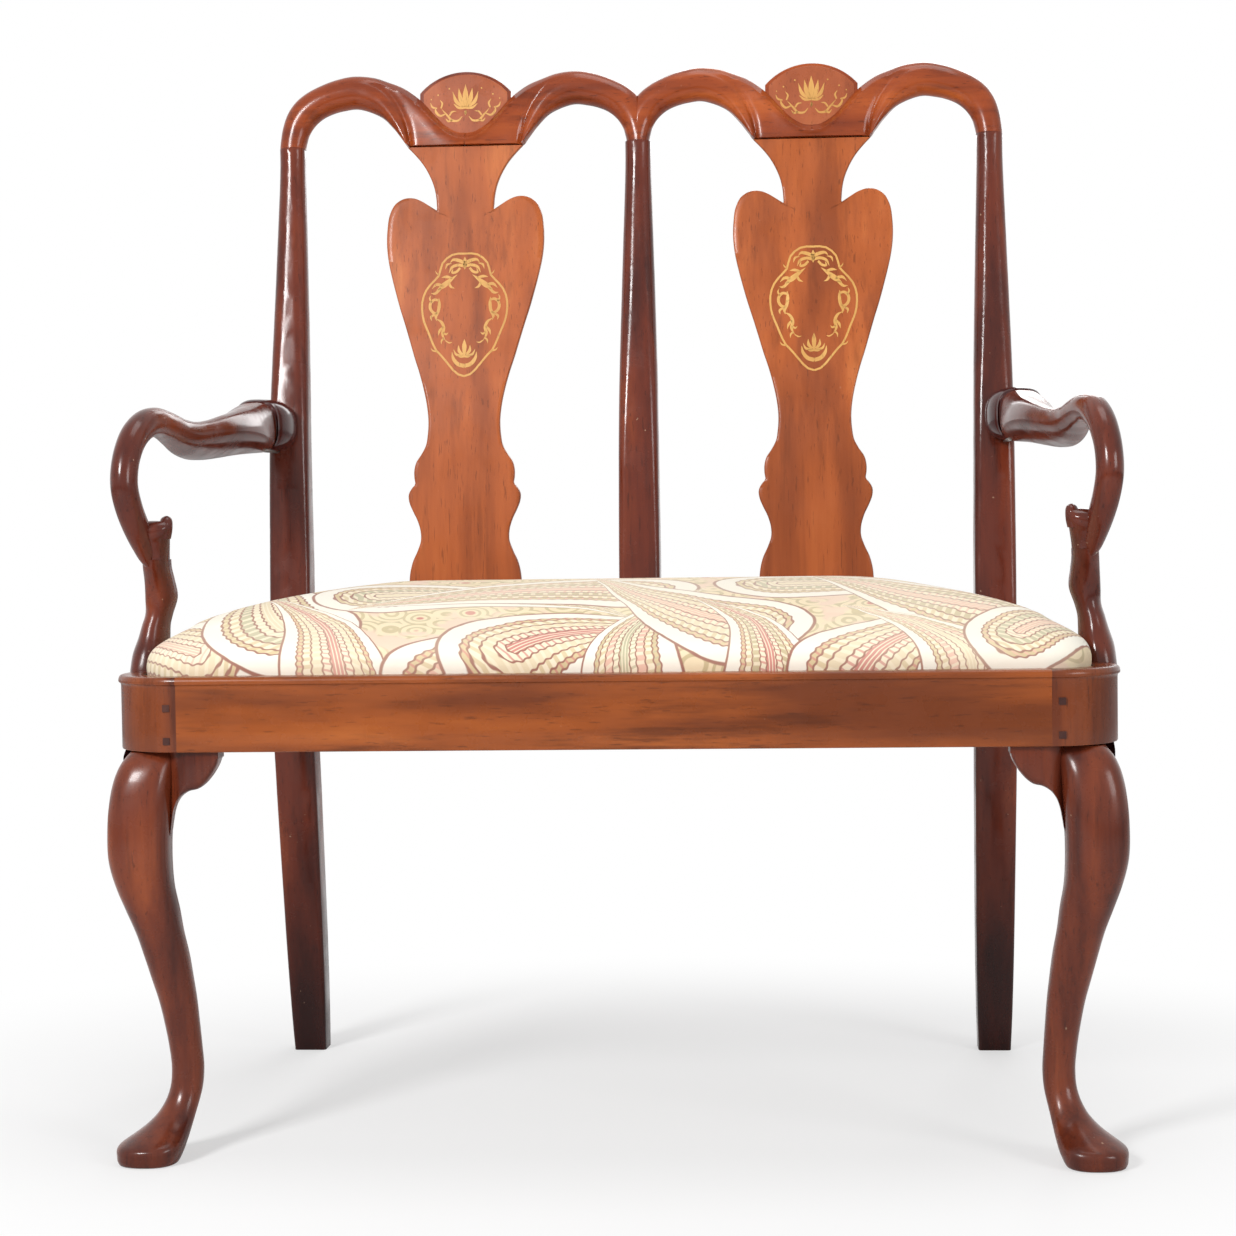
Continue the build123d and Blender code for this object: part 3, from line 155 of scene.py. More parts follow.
class Tree:
    """Short ways to add nodes to one tree."""

    def __init__(self, tree):
        self.tree = tree

    def add(self, kind, **values):
        node = self.tree.nodes.new(kind)
        for key, value in values.items():
            if hasattr(node, key):
                setattr(node, key, value)
            else:
                self.put(value, node.inputs[key])
        return node

    def put(self, value, socket):
        if isinstance(value, bpy.types.NodeSocket):
            self.tree.links.new(value, socket)
        else:
            socket.default_value = value

    def math(self, operation, first, second=0.0, clamp=False):
        node = self.add("ShaderNodeMath", operation=operation, use_clamp=clamp)
        self.put(first, node.inputs[0])
        self.put(second, node.inputs[1])
        return node.outputs[0]

    def mix(self, share, first, second, blend="MIX"):
        node = self.add("ShaderNodeMix", data_type="RGBA", blend_type=blend)
        self.put(share, node.inputs["Factor"])
        for value, socket in ((first, node.inputs[6]), (second, node.inputs[7])):
            self.put(value if isinstance(value, bpy.types.NodeSocket) else (*value, 1.0), socket)
        return node.outputs[2]

    def ramp(self, value, low, high, first=0.0, last=1.0):
        node = self.add("ShaderNodeMapRange", interpolation_type="SMOOTHSTEP")
        for entry, socket in zip((value, low, high, first, last), node.inputs):
            self.put(entry, socket)
        return node.outputs[0]

    def noise(self, place, scale, detail=3.0, roughness=0.55):
        node = self.add("ShaderNodeTexNoise", Scale=scale, Detail=detail, Roughness=roughness)
        self.put(place, node.inputs["Vector"])
        return node.outputs["Fac"]

    def stretched(self, place, scale, location=(0.0, 0.0, 0.0)):
        node = self.add("ShaderNodeMapping")
        self.put(place, node.inputs["Vector"])
        node.inputs["Scale"].default_value = scale
        node.inputs["Location"].default_value = location
        return node.outputs[0]


def wood(name, dark, middle, light, grain=(1, 1, 0.06), shift=0.0, rough=0.3, coat=0.35, figure=0.5,
         wear=0.4, shade_band=None):
    """Polished wood: long pores along the grain, wandering darker streaks, faded and dirty patches, pale knocks."""
    made, tree, shader = nodes_of(name)
    t = Tree(tree)
    place = t.add("ShaderNodeTexCoord").outputs["Object"]
    run = t.stretched(place, grain, (shift, shift * 0.7, shift * 1.3))
    streak = t.noise(run, 26, 4, 0.6)
    pores = t.noise(run, 520, 2, 0.6)
    wander = t.noise(t.stretched(place, tuple(0.5 + 0.5 * g for g in grain), (shift, 0, 0)), 9, 2, 0.5)
    figured = t.noise(run, 75, 3, 0.65)
    share = t.math("ADD", t.math("MULTIPLY", streak, 0.65), t.math("MULTIPLY", wander, 0.35))
    body = t.mix(t.ramp(share, 0.36, 0.56), dark, middle)
    body = t.mix(t.ramp(share, 0.52, 0.70), body, light)
    body = t.mix(t.math("MULTIPLY", t.ramp(figured, 0.52, 0.74), figure), body, tuple(0.45 * c for c in dark))
    body = t.mix(t.math("MULTIPLY", t.ramp(pores, 0.62, 0.70), 0.45), body, tuple(0.35 * c for c in dark))
    # Painted shade: a band given here multiplies the colour towards its tone along one axis, from none at its first
    # value to full at its second.
    if shade_band:
        axis, low, high, shade_tone = shade_band
        split = t.add("ShaderNodeSeparateXYZ", Vector=place)
        body = t.mix(t.ramp(split.outputs[axis], low, high), body, shade_tone, "MULTIPLY")
    flecks = t.noise(place, 210, 2, 0.5)
    patches = t.noise(place, 14, 2, 0.5)
    worn = t.math("MULTIPLY", t.ramp(flecks, 0.735, 0.78), t.ramp(patches, 0.5, 0.6))
    body = t.mix(t.math("MULTIPLY", worn, wear), body, (0.62, 0.42, 0.28))
    t.put(body, shader.inputs["Base Color"])
    smear = t.noise(place, 30, 4, 0.6)
    t.put(t.ramp(smear, 0.35, 0.7, rough - 0.06, rough + 0.12), shader.inputs["Roughness"])
    shader.inputs["Specular IOR Level"].default_value = 0.24
    shader.inputs["Coat Weight"].default_value = 0.4 * coat
    shader.inputs["Coat Roughness"].default_value = 0.12
    bump = t.add("ShaderNodeBump", Strength=0.12, Distance=0.0004)
    t.put(t.math("ADD", t.math("MULTIPLY", pores, -0.5), t.math("MULTIPLY", smear, 0.7)), bump.inputs["Height"])
    t.put(bump.outputs[0], shader.inputs["Normal"])
    return made


def plain(name, colour, rough, metal=0.0, scale=60.0, depth=0.35, relief=0.3):
    """A matt or metal finish with a mottled colour and a fine relief."""
    made, tree, shader = nodes_of(name)
    t = Tree(tree)
    place = t.add("ShaderNodeTexCoord").outputs["Object"]
    mottle = t.noise(place, scale, 4, 0.6)
    t.put(t.mix(t.ramp(mottle, 0.3, 0.7), tuple((1 - depth) * c for c in colour), colour), shader.inputs["Base Color"])
    shader.inputs["Roughness"].default_value = rough
    shader.inputs["Metallic"].default_value = metal
    bump = t.add("ShaderNodeBump", Strength=relief, Distance=0.0005)
    t.put(t.noise(place, scale * 12, 2, 0.5), bump.inputs["Height"])
    t.put(bump.outputs[0], shader.inputs["Normal"])
    return made


def woven(name, colour, pitch, rough=0.9, dirt=0.3):
    """Plain woven cloth: crossing threads of one pitch, a soft shade in their gaps, and uneven colour."""
    made, tree, shader = nodes_of(name)
    t = Tree(tree)
    place = t.add("ShaderNodeTexCoord").outputs["Object"]
    split = t.add("ShaderNodeSeparateXYZ", Vector=place)
    threads = [t.math("SINE", t.math("MULTIPLY", split.outputs[axis], 2 * np.pi / pitch)) for axis in (0, 1)]
    weave = t.math("MULTIPLY", threads[0], threads[1])
    shade = t.mix(t.ramp(weave, -1, 1), tuple(0.6 * c for c in colour), colour)
    shade = t.mix(t.math("MULTIPLY", t.noise(place, 18, 3), dirt), shade, tuple(0.4 * c for c in colour))
    t.put(shade, shader.inputs["Base Color"])
    shader.inputs["Roughness"].default_value = rough
    bump = t.add("ShaderNodeBump", Strength=0.5, Distance=0.0005)
    t.put(weave, bump.inputs["Height"])
    t.put(bump.outputs[0], shader.inputs["Normal"])
    return made


SPLAT_WOOD = wood("sunlit_splat_wood", (0.24, 0.052, 0.012), (0.40, 0.095, 0.022), (0.56, 0.17, 0.045),
                  (1, 1, 0.05), 0.3,
                  rough=0.36, coat=0.2, figure=0.35, wear=0.1)
CREST_WOOD = wood("crest_wood", (0.12, 0.018, 0.006), (0.27, 0.048, 0.010), (0.44, 0.095, 0.018), (0.12, 1, 1), 0.9,
                  rough=0.2, figure=0.45, wear=0.3)
# The posts carry painted shade: they darken towards the floor, from none at 0.30 m to full at 0.02 m.
POST_WOOD = wood("post_wood", (0.055, 0.009, 0.005), (0.13, 0.022, 0.009), (0.24, 0.048, 0.014), (1, 1, 0.05), 1.7,
                 rough=0.2, figure=0.4, wear=0.5, shade_band=(2, 0.30, 0.02, (0.30, 0.22, 0.22)))
ARM_WOOD = wood("arm_wood", (0.05, 0.009, 0.006), (0.12, 0.021, 0.009), (0.25, 0.050, 0.013), (1, 0.10, 0.3), 2.9,
                rough=0.19, figure=0.4, wear=0.9)
BLOCK_WOOD = wood("arm_block_wood", (0.030, 0.006, 0.006), (0.06, 0.011, 0.010), (0.12, 0.024, 0.013), (1, 0.1, 1), 3.7,
                  rough=0.16, figure=0.3, wear=0.5)
LEG_WOOD = wood("front_leg_wood", (0.06, 0.011, 0.006), (0.14, 0.027, 0.010), (0.25, 0.055, 0.016), (1, 1, 0.07), 4.4,
                rough=0.24, figure=0.4, wear=0.6)
RAIL_WOOD = wood("front_rail_wood", (0.14, 0.030, 0.006), (0.28, 0.065, 0.011), (0.42, 0.115, 0.020), (0.10, 1, 1), 5.3,
                 rough=0.30, coat=0.25, figure=0.6, wear=0.15)
HEAD_WOOD = wood("leg_head_wood", (0.09, 0.018, 0.006), (0.19, 0.042, 0.010), (0.30, 0.075, 0.016), (1, 1, 0.07), 5.9,
                 rough=0.26, figure=0.45, wear=0.3)
SIDE_WOOD = wood("side_rail_wood", (0.06, 0.011, 0.006), (0.13, 0.026, 0.010), (0.22, 0.05, 0.016), (1, 0.10, 1), 6.1,
                 rough=0.30, figure=0.4)
VENEER = wood("tablet_veneer", (0.28, 0.066, 0.024), (0.36, 0.092, 0.034), (0.46, 0.14, 0.05), (1, 1, 0.3), 7.7,
              rough=0.28, figure=0.2, wear=0.0)
BOXWOOD = wood("boxwood_inlay", (0.52, 0.26, 0.07), (0.64, 0.35, 0.10), (0.76, 0.46, 0.16), (1, 1, 0.2), 8.3,
               rough=0.32, coat=0.3, figure=0.15, wear=0.0)
BEECH = wood("inner_beech", (0.42, 0.27, 0.14), (0.55, 0.38, 0.21), (0.66, 0.48, 0.29), (0.08, 1, 1), 9.2,
             rough=0.62, coat=0.0, figure=0.2, wear=0.2)
PEG_WOOD = wood("peg_wood", (0.035, 0.010, 0.008), (0.06, 0.018, 0.012), (0.10, 0.03, 0.018), (1, 0.1, 1), 9.9,
                rough=0.4, figure=0.2, wear=0.0)
STEEL = plain("old_steel", (0.36, 0.34, 0.32), 0.42, 1.0, 300.0)
HAIR = plain("horsehair", (0.20, 0.15, 0.11), 0.95, 0.0, 240.0, 0.6, 0.9)
WEBBING = woven("jute_webbing", (0.46, 0.36, 0.22), 0.0022)
HESSIAN = woven("hessian", (0.56, 0.45, 0.28), 0.0016)
COTTON = woven("black_cotton", (0.035, 0.034, 0.034), 0.0008)


# Seat rails: one moulded profile carried along the seat's outline.
CORNER = 62.0
SLOPE = np.arctan2(453 - 383, 433)
SEAM_X = 453 - CORNER * np.tan(SLOPE) - CORNER / np.cos(SLOPE)
RAIL_PROFILE = np.array([      # outset from the rail's face, height
    (-1.3, 367.0), (-0.4, 367.35), (0.0, 368.3), (0.0, 385), (0.0, 405), (0.0, 423.5), (0.25, 425.2), (1.0, 426.2),
    (2.0, 426.7), (2.35, 427.8), (2.2, 429.6), (1.6, 431.3), (0.5, 432.5), (-0.8, 433.0), (-6, 433.0), (-12, 433.0),
    (-18.8, 433.0), (-19.7, 432.6), (-20, 431.7), (-20, 427), (-20, 421), (-27, 421), (-34, 421),
    (-34, 395), (-34, 367),
    (-18, 367),
])


def rail_run(path, ways):
    """The rail's profile carried along a level path, moved out along the path's outward ways."""
    place = path[:, None, :] + ways[:, None, :] * RAIL_PROFILE[None, :, :1]
    height = np.broadcast_to(RAIL_PROFILE[None, :, 1:], (len(path), len(RAIL_PROFILE), 1))
    return np.concatenate([place, height], axis=2)


steps = np.linspace(0, 1, 25)[:, None]
front_path = np.concatenate([-SEAM_X + 2 * SEAM_X * steps, np.full((25, 1), FRONT)], axis=1)
piece("front_rail_moulded", [rail_run(front_path, np.tile([0.0, -1.0], (25, 1)))], RAIL_WOOD,
      replaced=["front_seat_rail"], slot="mahogany", crease=40)
turns = np.radians(-90) + (np.pi / 2 + SLOPE) * np.linspace(0, 1, 31)
corner_ways = np.stack([np.cos(turns), np.sin(turns)], axis=1)
corner_path = np.array([SEAM_X, FRONT + CORNER]) + CORNER * corner_ways
side_way = corner_ways[-1]
side_start = corner_path[-1]
side_run = (433 - (side_start[1] - FRONT)) / np.cos(SLOPE)
side_path = side_start + side_run * steps * np.array([-np.sin(SLOPE), np.cos(SLOPE)])


# Front legs: the moulded corner head, and the cabriole with its slipper foot in level sections.
LEG_TABLE = (     # height, outer X, inner X, power, advance
    (366, 428, 384, 2.9, 0), (358, 434.5, 385.5, 2.9, 0), (348, 439.5, 387, 2.8, 0), (336, 443, 388.4, 2.8, 0),
    (320, 445.6, 390, 2.8, 0), (295, 447.4, 392, 2.7, 0),
    (267, 446.5, 392.5, 2.6, 0), (245, 441.5, 391.5, 2.5, 0), (225, 435, 388.5, 2.45, 0), (203, 427.5, 386, 2.4, 0),
    (182, 422, 382.5, 2.35, 0), (160, 416.5, 380, 2.3, 0), (140, 411.5, 378, 2.25, 0), (118, 407.5, 376.5, 2.2, 0),
    (97, 404.5, 375.2, 2.15, 0), (76, 403, 374.2, 2.1, 0), (60, 404.4, 375.4, 2.1, 1), (48, 408.5, 377.8, 2.1, 2.5),
    (38, 415, 380, 2.15, 4.5), (30, 423.5, 381.5, 2.2, 6.5), (24, 432, 382.6, 2.25, 7.6), (19.5, 439, 383.6, 2.3, 8),
    (17, 442.6, 384.2, 2.3, 8), (15, 444.3, 384.8, 2.3, 8), (13, 444.9, 385.4, 2.35, 8), (8, 444.6, 387.4, 2.4, 8),
    (2.6, 443.6, 390, 2.4, 8), (0.8, 442.4, 391.3, 2.4, 7.8), (0.0, 440, 393, 2.4, 7.4),
)
heights = np.array([row[0] for row in LEG_TABLE], float)[::-1]
outer, inner, power, advance = (np.array([row[i] for row in LEG_TABLE], float)[::-1] for i in (1, 2, 3, 4))
leg_outer_x = SEAM_X + CORNER
middle_x = (outer + inner) / 2
leg_levels = np.concatenate([np.linspace(0, 1, 4)[:-1], np.linspace(1, 12, 8)[:-1], np.linspace(12, 21, 13)[:-1],
                             np.linspace(21, 48, 16)[:-1], np.linspace(48, 366, 76)])
leg_parts = [middle_x, FRONT + (leg_outer_x - middle_x) - advance, outer - inner, power]
leg_rows = smooth(heights, np.stack(leg_parts, axis=1),
                  leg_levels)
a, b = oval(56, leg_rows[:, 3])
cabriole = np.stack([leg_rows[:, :1] + a * leg_rows[:, 2:3] / 2, leg_rows[:, 1:2] + b * leg_rows[:, 2:3] / 2,
                     np.broadcast_to(leg_levels[:, None], a.shape)], axis=2)
head = rail_run(corner_path, corner_ways)


def knee_bracket():
    """The ogee bracket beside a knee: upright sections between its lower line and the rail, rounded below."""
    line = np.array(((344.7, 362.5), (346.2, 356.5), (349.6, 349.8), (354.6, 342.6), (360.4, 336.6), (364.6, 333.8),
                     (373.0, 331.6), (380.2, 327.0), (385.0, 320.5), (388.2, 312.0), (390.4, 301), (393, 290),
                     (400, 284)))
    low = along(np.column_stack([line, np.zeros(len(line))]), 70)
    turn = np.linspace(0, np.pi, 15)
    loop_y = np.concatenate([[30, 30], 18 + 12 * np.cos(turn), [6, 6, 14, 22]])
    loop_up = np.concatenate([[366.9, 361], np.full(15, np.nan), [361, 366.9, 366.9, 366.9]])
    rounding = 7.0 * (1 - np.sin(turn)) ** 1.6
    height = np.tile(loop_up, (len(low), 1))
    height[:, 2:17] = np.minimum(low[:, 1:2] + rounding[None, :], 360.9)
    height[:, 1] = height[:, 17] = np.maximum(height[:, 2], 361)
    sunk = 14 * np.clip((low[:, :1] - 371) / 22, 0, 1) ** 2
    back = FRONT + np.maximum(loop_y[None, :], 6 + sunk)
    return np.stack([np.broadcast_to(low[:, :1], height.shape), back, height], axis=2)


for side, hand in ((-1, "left"), (1, "right")):
    piece(f"{hand}_front_knee_bracket_carved", [knee_bracket()], LEG_WOOD, replaced=[f"{hand}_front_knee_bracket"],
          slot="mahogany", side=side, crease=40)
    piece(f"{hand}_front_leg_carved", [cabriole], LEG_WOOD, replaced=[f"{hand}_front_leg"], slot="mahogany",
          side=side, crease=40)
    piece(f"{hand}_front_leg_head", [head], HEAD_WOOD, slot="mahogany", side=side, crease=40)
    piece(f"{hand}_side_rail_moulded", [rail_run(side_path, np.tile(side_way, (25, 1)))], SIDE_WOOD,
          replaced=[f"{hand}_side_rail"], slot="mahogany", side=side, crease=40)


# Dark square pegs, a little proud of the rail.
square = np.array(((-1, -1), (1, -1), (1, 1), (-1, 1)), float) * 3.1
PEG_ENDS = (-0.35, 9.0)      # a peg's shown face and its hidden end, behind the rail's face
pegs = [np.stack([np.column_stack([x + square[:, 0], np.full(4, FRONT + out), z + square[:, 1]]) for out in PEG_ENDS])
        for x in (-389, 389) for z in (377, 406)]
piece("front_pegs_square", pegs, PEG_WOOD, replaced=["front_joint_pegs"], slot="mahogany")

# Crest rails. Places in a crest's own plane: distance from the bay's middle, height above the post joint.
def crest_points(along_bay, up, out, middle):
    """Stand a crest's own coordinates on the back's top, leaning back."""
    return np.stack([middle + along_bay, back_y(np.array([BACK_TOP]))[0] + up * np.sin(LEAN) - out * np.cos(LEAN),
                     BACK_TOP + up * np.cos(LEAN) + out * np.sin(LEAN)], axis=-1)


CREST_EDGES = np.array([     # top edge: along, height; lower edge: along, height; roundness; half thickness
    (0, 967.0, 0, 953.4, 0.0, 11), (10, 968.6, 11, 953.4, 0.0, 11), (22, 976.0, 24, 953.4, 0.0, 11),
    (33, 987.0, 38, 953.4, 0.0, 11), (43, 998.5, 51, 953.4, 0.0, 11.2), (53, 1007.5, 60.5, 953.6, 0.05, 11.6),
    (66, 1016.5, 66, 960.5, 0.25, 12.4), (80, 1022.5, 76, 973.5, 0.5, 13.4), (97, 1028.2, 90, 986.8, 0.8, 14.4),
    (118, 1030.0, 112, 995.2, 1.0, 15), (137, 1026.5, 129, 994.0, 1.0, 15), (153, 1020.8, 142, 990.5, 1.0, 15),
    (168, 1013.2, 152, 985.4, 1.0, 14.8), (180, 1003.5, 160, 978.0, 1.0, 14.4), (188.5, 991.0, 165.4, 969.2, 1.0, 14),
    (193.5, 976.0, 167.8, 961.2, 1.0, 13.8), (195.8, 961.0, 169.0, 955.6, 1.0, 13.7),
    (196.4, 953.2, 169.2, 953.2, 1.0, 13.7),
])


def crest_half(reach, middle, way):
    """Half a bay of the crest: an arched roll that dies into a flat fascia, with a bevelled top edge.

    The front stands out by the larger of the fascia and a half-round roll about the arch's own line, and
    it is cut square at its reach, where the two bays meet.
    """
    table = CREST_EDGES.copy()
    table[:, (1, 3)] -= BACK_TOP
    knots = np.linspace(0, 1, len(table))
    rows = smooth(knots, table, np.linspace(0, 1, 150))
    share = 0.5 - 0.5 * np.cos(np.pi * np.linspace(0, 1, 49))
    top, low = rows[:, None, 0:2], rows[:, None, 2:4]
    flat = top + (low - top) * share[None, :, None]
    round_share, half = np.clip(rows[:, 4:5], 0, 1), rows[:, 5:6]
    across = 2 * share[None, :] - 1
    width = np.linalg.norm(rows[:, 0:2] - rows[:, 2:4], axis=1)[:, None]
    roll = half * np.maximum(1 - np.abs(across) ** 2.1, 0) ** (1 / 2.1)
    roll_line = along(((61.5, 1.0), (67, 12), (76, 25), (88, 39), (101, 50), (115, 56)), 60)
    away = np.min(np.linalg.norm(flat[:, :, None, :] - roll_line[None, None, :, :], axis=3), axis=2)
    wide = np.interp(flat[:, :, 1], (0, 12, 25, 40, 56), (3.0, 7.0, 11.0, 15.0, 18.0))
    ridge = 14.6 * np.sqrt(np.maximum(1 - (away / wide) ** 2, 0))
    from_top = share[None, :] * width
    groove = 3.0 * np.exp(-(np.maximum(away - wide, 0) / 3.0) ** 1.5)
    flat_part = 9.0 + 3.4 * np.exp(-np.maximum(from_top - 8.0, 0) / 9.0) - groove
    fascia = np.minimum(flat_part, 2.0 + 1.3 * from_top)
    front = np.maximum(fascia, ridge)
    front = round_share * roll + (1 - round_share) * front
    edge = np.maximum(1 - np.abs(across) ** 14, 0) ** 0.5
    back = -(round_share * roll + (1 - round_share) * 11 * edge)
    loop = np.concatenate([flat, flat[:, -2:0:-1]], axis=1)
    out = np.concatenate([front, back[:, -2:0:-1]], axis=1)
    return crest_points(way * np.minimum(loop[:, :, 0], reach), loop[:, :, 1], out, middle)


def arched_plate(half_width, top_height, corner_height, low_height, front, thickness, middle):
    """A plate under an arc, as loops up its face, over its rounded edge and down its back, side by side."""
    x = half_width * np.sin(np.pi / 2 * np.linspace(-1, 1, 41))
    drop = top_height - corner_height
    radius = (half_width ** 2 + drop ** 2) / (2 * drop)
    top = top_height - radius + np.sqrt(radius ** 2 - x ** 2)
    up = np.concatenate([np.linspace(0, 1, 16), np.ones(9), np.linspace(1, 0, 16)])
    bend = np.linspace(0, np.pi, 9)
    edge_out = np.concatenate([np.full(16, 0.0), -thickness / 2 * (1 - np.cos(bend)), np.full(16, -thickness)])
    swell = np.concatenate([np.zeros(16), 1.2 * np.sin(bend), np.zeros(16)])
    height = low_height + (top[:, None] - low_height) * up[None, :] + swell[None, :] - BACK_TOP
    return crest_points(np.broadcast_to(x[:, None], height.shape), height,
                        front + np.broadcast_to(edge_out[None, :], height.shape), middle)


# Flat inlay: strokes of changing width laid on a face.
def stroke(points, widths, count=26):
    """Two edges on both sides of a smooth line, given as along, height; the widths are whole widths."""
    spread = np.interp(np.linspace(0, 1, len(points)), np.linspace(0, 1, len(widths)), widths)
    line = along(np.column_stack([points, spread]), count)
    run = np.gradient(line[:, :2], axis=0)
    run /= np.maximum(np.linalg.norm(run, axis=1, keepdims=True), 1e-9)
    normal = np.stack([-run[:, 1], run[:, 0]], axis=1)
    half = np.maximum(line[:, 2:3] / 2, 0.06)
    return np.stack([line[:, :2] - normal * half, line[:, :2] + normal * half], axis=1)


def inlay_blocks(strokes, stand):
    """Each stroke, and its mirror image, as a thin closed strip on its face; stand gives the face's points."""
    blocks = []
    for points, widths in strokes:
        points = np.asarray(points, float)
        for way in ((1, -1) if np.abs(points[:, 0]).max() > 0.01 else (1,)):
            edges = stroke(points * (way, 1), widths)
            loop = np.concatenate([edges, edges[:, ::-1]], axis=1)
            proud = np.array([0.14, 0.14, -0.5, -0.5])
            blocks.append(stand(loop[:, :, 0], loop[:, :, 1], np.broadcast_to(proud[None, :], loop.shape[:2])))
    return blocks


TABLET_STROKES = [           # along, height above the post joint
    (((0, 42), (0, 53), (0, 66)), (2.4, 6.0, 0.2)),
    (((1.6, 42), (5.0, 50), (7.2, 62)), (1.8, 4.6, 0.2)),
    (((2.8, 42), (9.0, 47), (13.6, 58.5)), (1.6, 3.8, 0.2)),
    (((0, 41.4), (7.0, 41.2), (12.4, 45.4)), (2.6, 2.6, 0.7)),
    (((0, 39), (0.1, 36.5), (0, 33)), (0.3, 2.4, 0.3)),
    (((3.5, 32), (8, 27.5), (14, 27.8), (19, 33), (25, 40)), (0.5, 2.0, 2.4, 2.0, 0.4)),
    (((14, 28.5), (18, 27), (21, 30)), (1.4, 2.0, 0.3)),
    (((17, 33), (14, 37), (9.6, 37.6)), (1.6, 1.7, 0.3)),
    (((21, 35), (27, 33), (31, 37), (32, 42)), (1.2, 2.2, 2.4, 0.3)),
    (((26, 41), (24.5, 46), (27, 50)), (1.6, 1.8, 0.3)),
    (((30, 41), (35, 42.5), (37, 47)), (1.4, 1.8, 0.3)),
    (((16.3, 61.5), (17.7, 62.1)), (1.5, 1.5)),
    (((28.2, 55.0), (29.6, 55.4)), (1.5, 1.5)),
    (((35.6, 50.6), (36.7, 50.5)), (1.2, 1.2)),
]
SPLAT_STROKES = [            # along, height
    (((0, 839.5), (12, 839), (19, 834.8), (24.5, 828), (26.8, 817.5), (28.4, 815.2), (34, 809.6), (41, 800.5),
      (44, 792), (44.6, 782.5), (43, 771), (37.5, 757), (31, 741.5), (29, 738), (24.6, 733.6), (17.4, 725),
      (9.6, 716), (4.5, 712.2), (0, 711.2)), (2.1, 2.1, 2.1)),
    (((28.4, 737.2), (33, 738.5), (35, 741)), (1.6, 1.4, 0.2)),
    (((26.6, 817.4), (29.6, 819.4), (31, 822)), (1.4, 1.2, 0.2)),
    (((0, 836.0), (0, 830), (0, 823)), (0.5, 5.0, 0.6)),
    (((0, 829.5), (6.5, 832.5), (12.5, 833.2), (15.5, 830)), (3.4, 3.6, 2.4, 0.2)),
    (((0, 826.5), (7.5, 827.6), (13.4, 825.4), (16.6, 819.4)), (3.2, 3.0, 2.6, 0.3)),
    (((5, 824.5), (9.5, 820.2), (13.2, 819.8), (12.4, 824)), (2.4, 2.6, 2.2, 0.3)),
    (((14, 829.5), (18.6, 828.2), (20.4, 823.4)), (0.4, 2.2, 0.3)),
    (((8, 817.5), (14.5, 812.5), (22, 806.5), (29.5, 801.5)), (0.3, 3.4, 5.4, 0.3)),
    (((13, 814), (19.5, 815.5), (24.5, 814.8)), (1.5, 2.8, 0.2)),
    (((17, 810), (14.5, 805), (10.5, 803.2)), (2.2, 2.4, 0.2)),
    (((22, 806), (29.5, 807.4), (34.5, 803)), (2.6, 3.0, 0.2)),
    (((25, 803.5), (31.5, 798), (35.4, 798.4)), (2.6, 2.4, 0.2)),
    (((27, 793.6), (26.6, 787), (27.6, 779.5), (30, 774), (29.2, 769.5)), (0.4, 3.2, 3.2, 3.0, 0.4)),
    (((26.6, 790.6), (31.5, 791.6), (35.6, 788), (35.6, 781.6), (31.6, 777.6), (28.2, 778)),
     (2.2, 2.8, 3.0, 3.0, 2.6, 1.6)),
    (((34.4, 789), (36.6, 793), (35.2, 796.4)), (2.0, 1.7, 0.2)),
    (((30.6, 776.5), (35.0, 773.6), (34.4, 769.6)), (1.8, 2.4, 0.3)),
    (((29.6, 771.5), (24.5, 768.4), (21.6, 762), (23.0, 755.4), (19.8, 748.4)), (0.4, 2.6, 3.2, 2.8, 0.3)),
    (((22.4, 763), (25.8, 759.2), (27.4, 754)), (1.6, 2.6, 0.2)),
    (((22.4, 757), (19.2, 755.2), (16.8, 757)), (1.8, 2.0, 0.2)),
    (((21, 751.4), (23.8, 748.6), (24.2, 745)), (1.8, 1.8, 0.2)),
    (((19.6, 748.4), (15.4, 746.2), (12.6, 747)), (1.0, 1.3, 0.2)),
    (((0, 749.6), (0, 743), (0, 733)), (0.3, 4.6, 2.2)),
    (((1.6, 733.4), (5.4, 737.6), (6.0, 743.6)), (2.2, 3.2, 0.3)),
    (((2.6, 732.6), (8.4, 734.0), (11.2, 739.2)), (1.8, 2.4, 0.3)),
    (((0, 732.0), (4.2, 731.6), (7.2, 733)), (2.4, 2.0, 0.4)),
    (((12.8, 736.4), (11.4, 729.8), (6.4, 723.8), (0, 721.8)), (0.5, 3.2, 4.0, 4.2)),
]
SPLAT_OUTLINE = np.array([   # edge: along, height; height on the splat's middle line
    (58.5, 444, 444), (58.5, 470, 470), (58.5, 498, 498), (57.6, 508, 508), (54.6, 520, 520), (49.6, 531, 531),
    (46.0, 542, 542), (46.2, 551, 551), (49.6, 563, 563), (54.4, 573, 573), (57.8, 582, 581), (58.3, 589, 588),
    (54.4, 596.4, 596), (51.6, 599.6, 600), (52.2, 606, 606), (52.4, 613, 613), (50.4, 622, 622), (44.6, 631, 632),
    (40.0, 640, 641), (38.2, 650, 651), (37.4, 664, 664), (39.0, 681, 681), (42.5, 698, 697), (47.1, 715, 713),
    (52.3, 731, 728), (57.3, 748, 743), (62.4, 765, 758), (67.8, 782, 772), (72.6, 799, 786), (77.0, 816, 800),
    (80.7, 833, 813), (82.6, 850, 825), (82.2, 867, 836), (79.6, 883, 845), (74.0, 893.4, 852), (65.0, 898.9, 857),
    (55.0, 899.4, 861), (45.0, 895.4, 865), (36.6, 888.8, 869.5), (31.4, 884.0, 874), (30.2, 886.5, 878),
    (30.3, 892, 884), (31.0, 900, 893), (33.0, 910, 905), (37.6, 922, 919), (44.4, 934, 932), (52.4, 944, 943),
    (60.8, 952.8, 952.8),
])


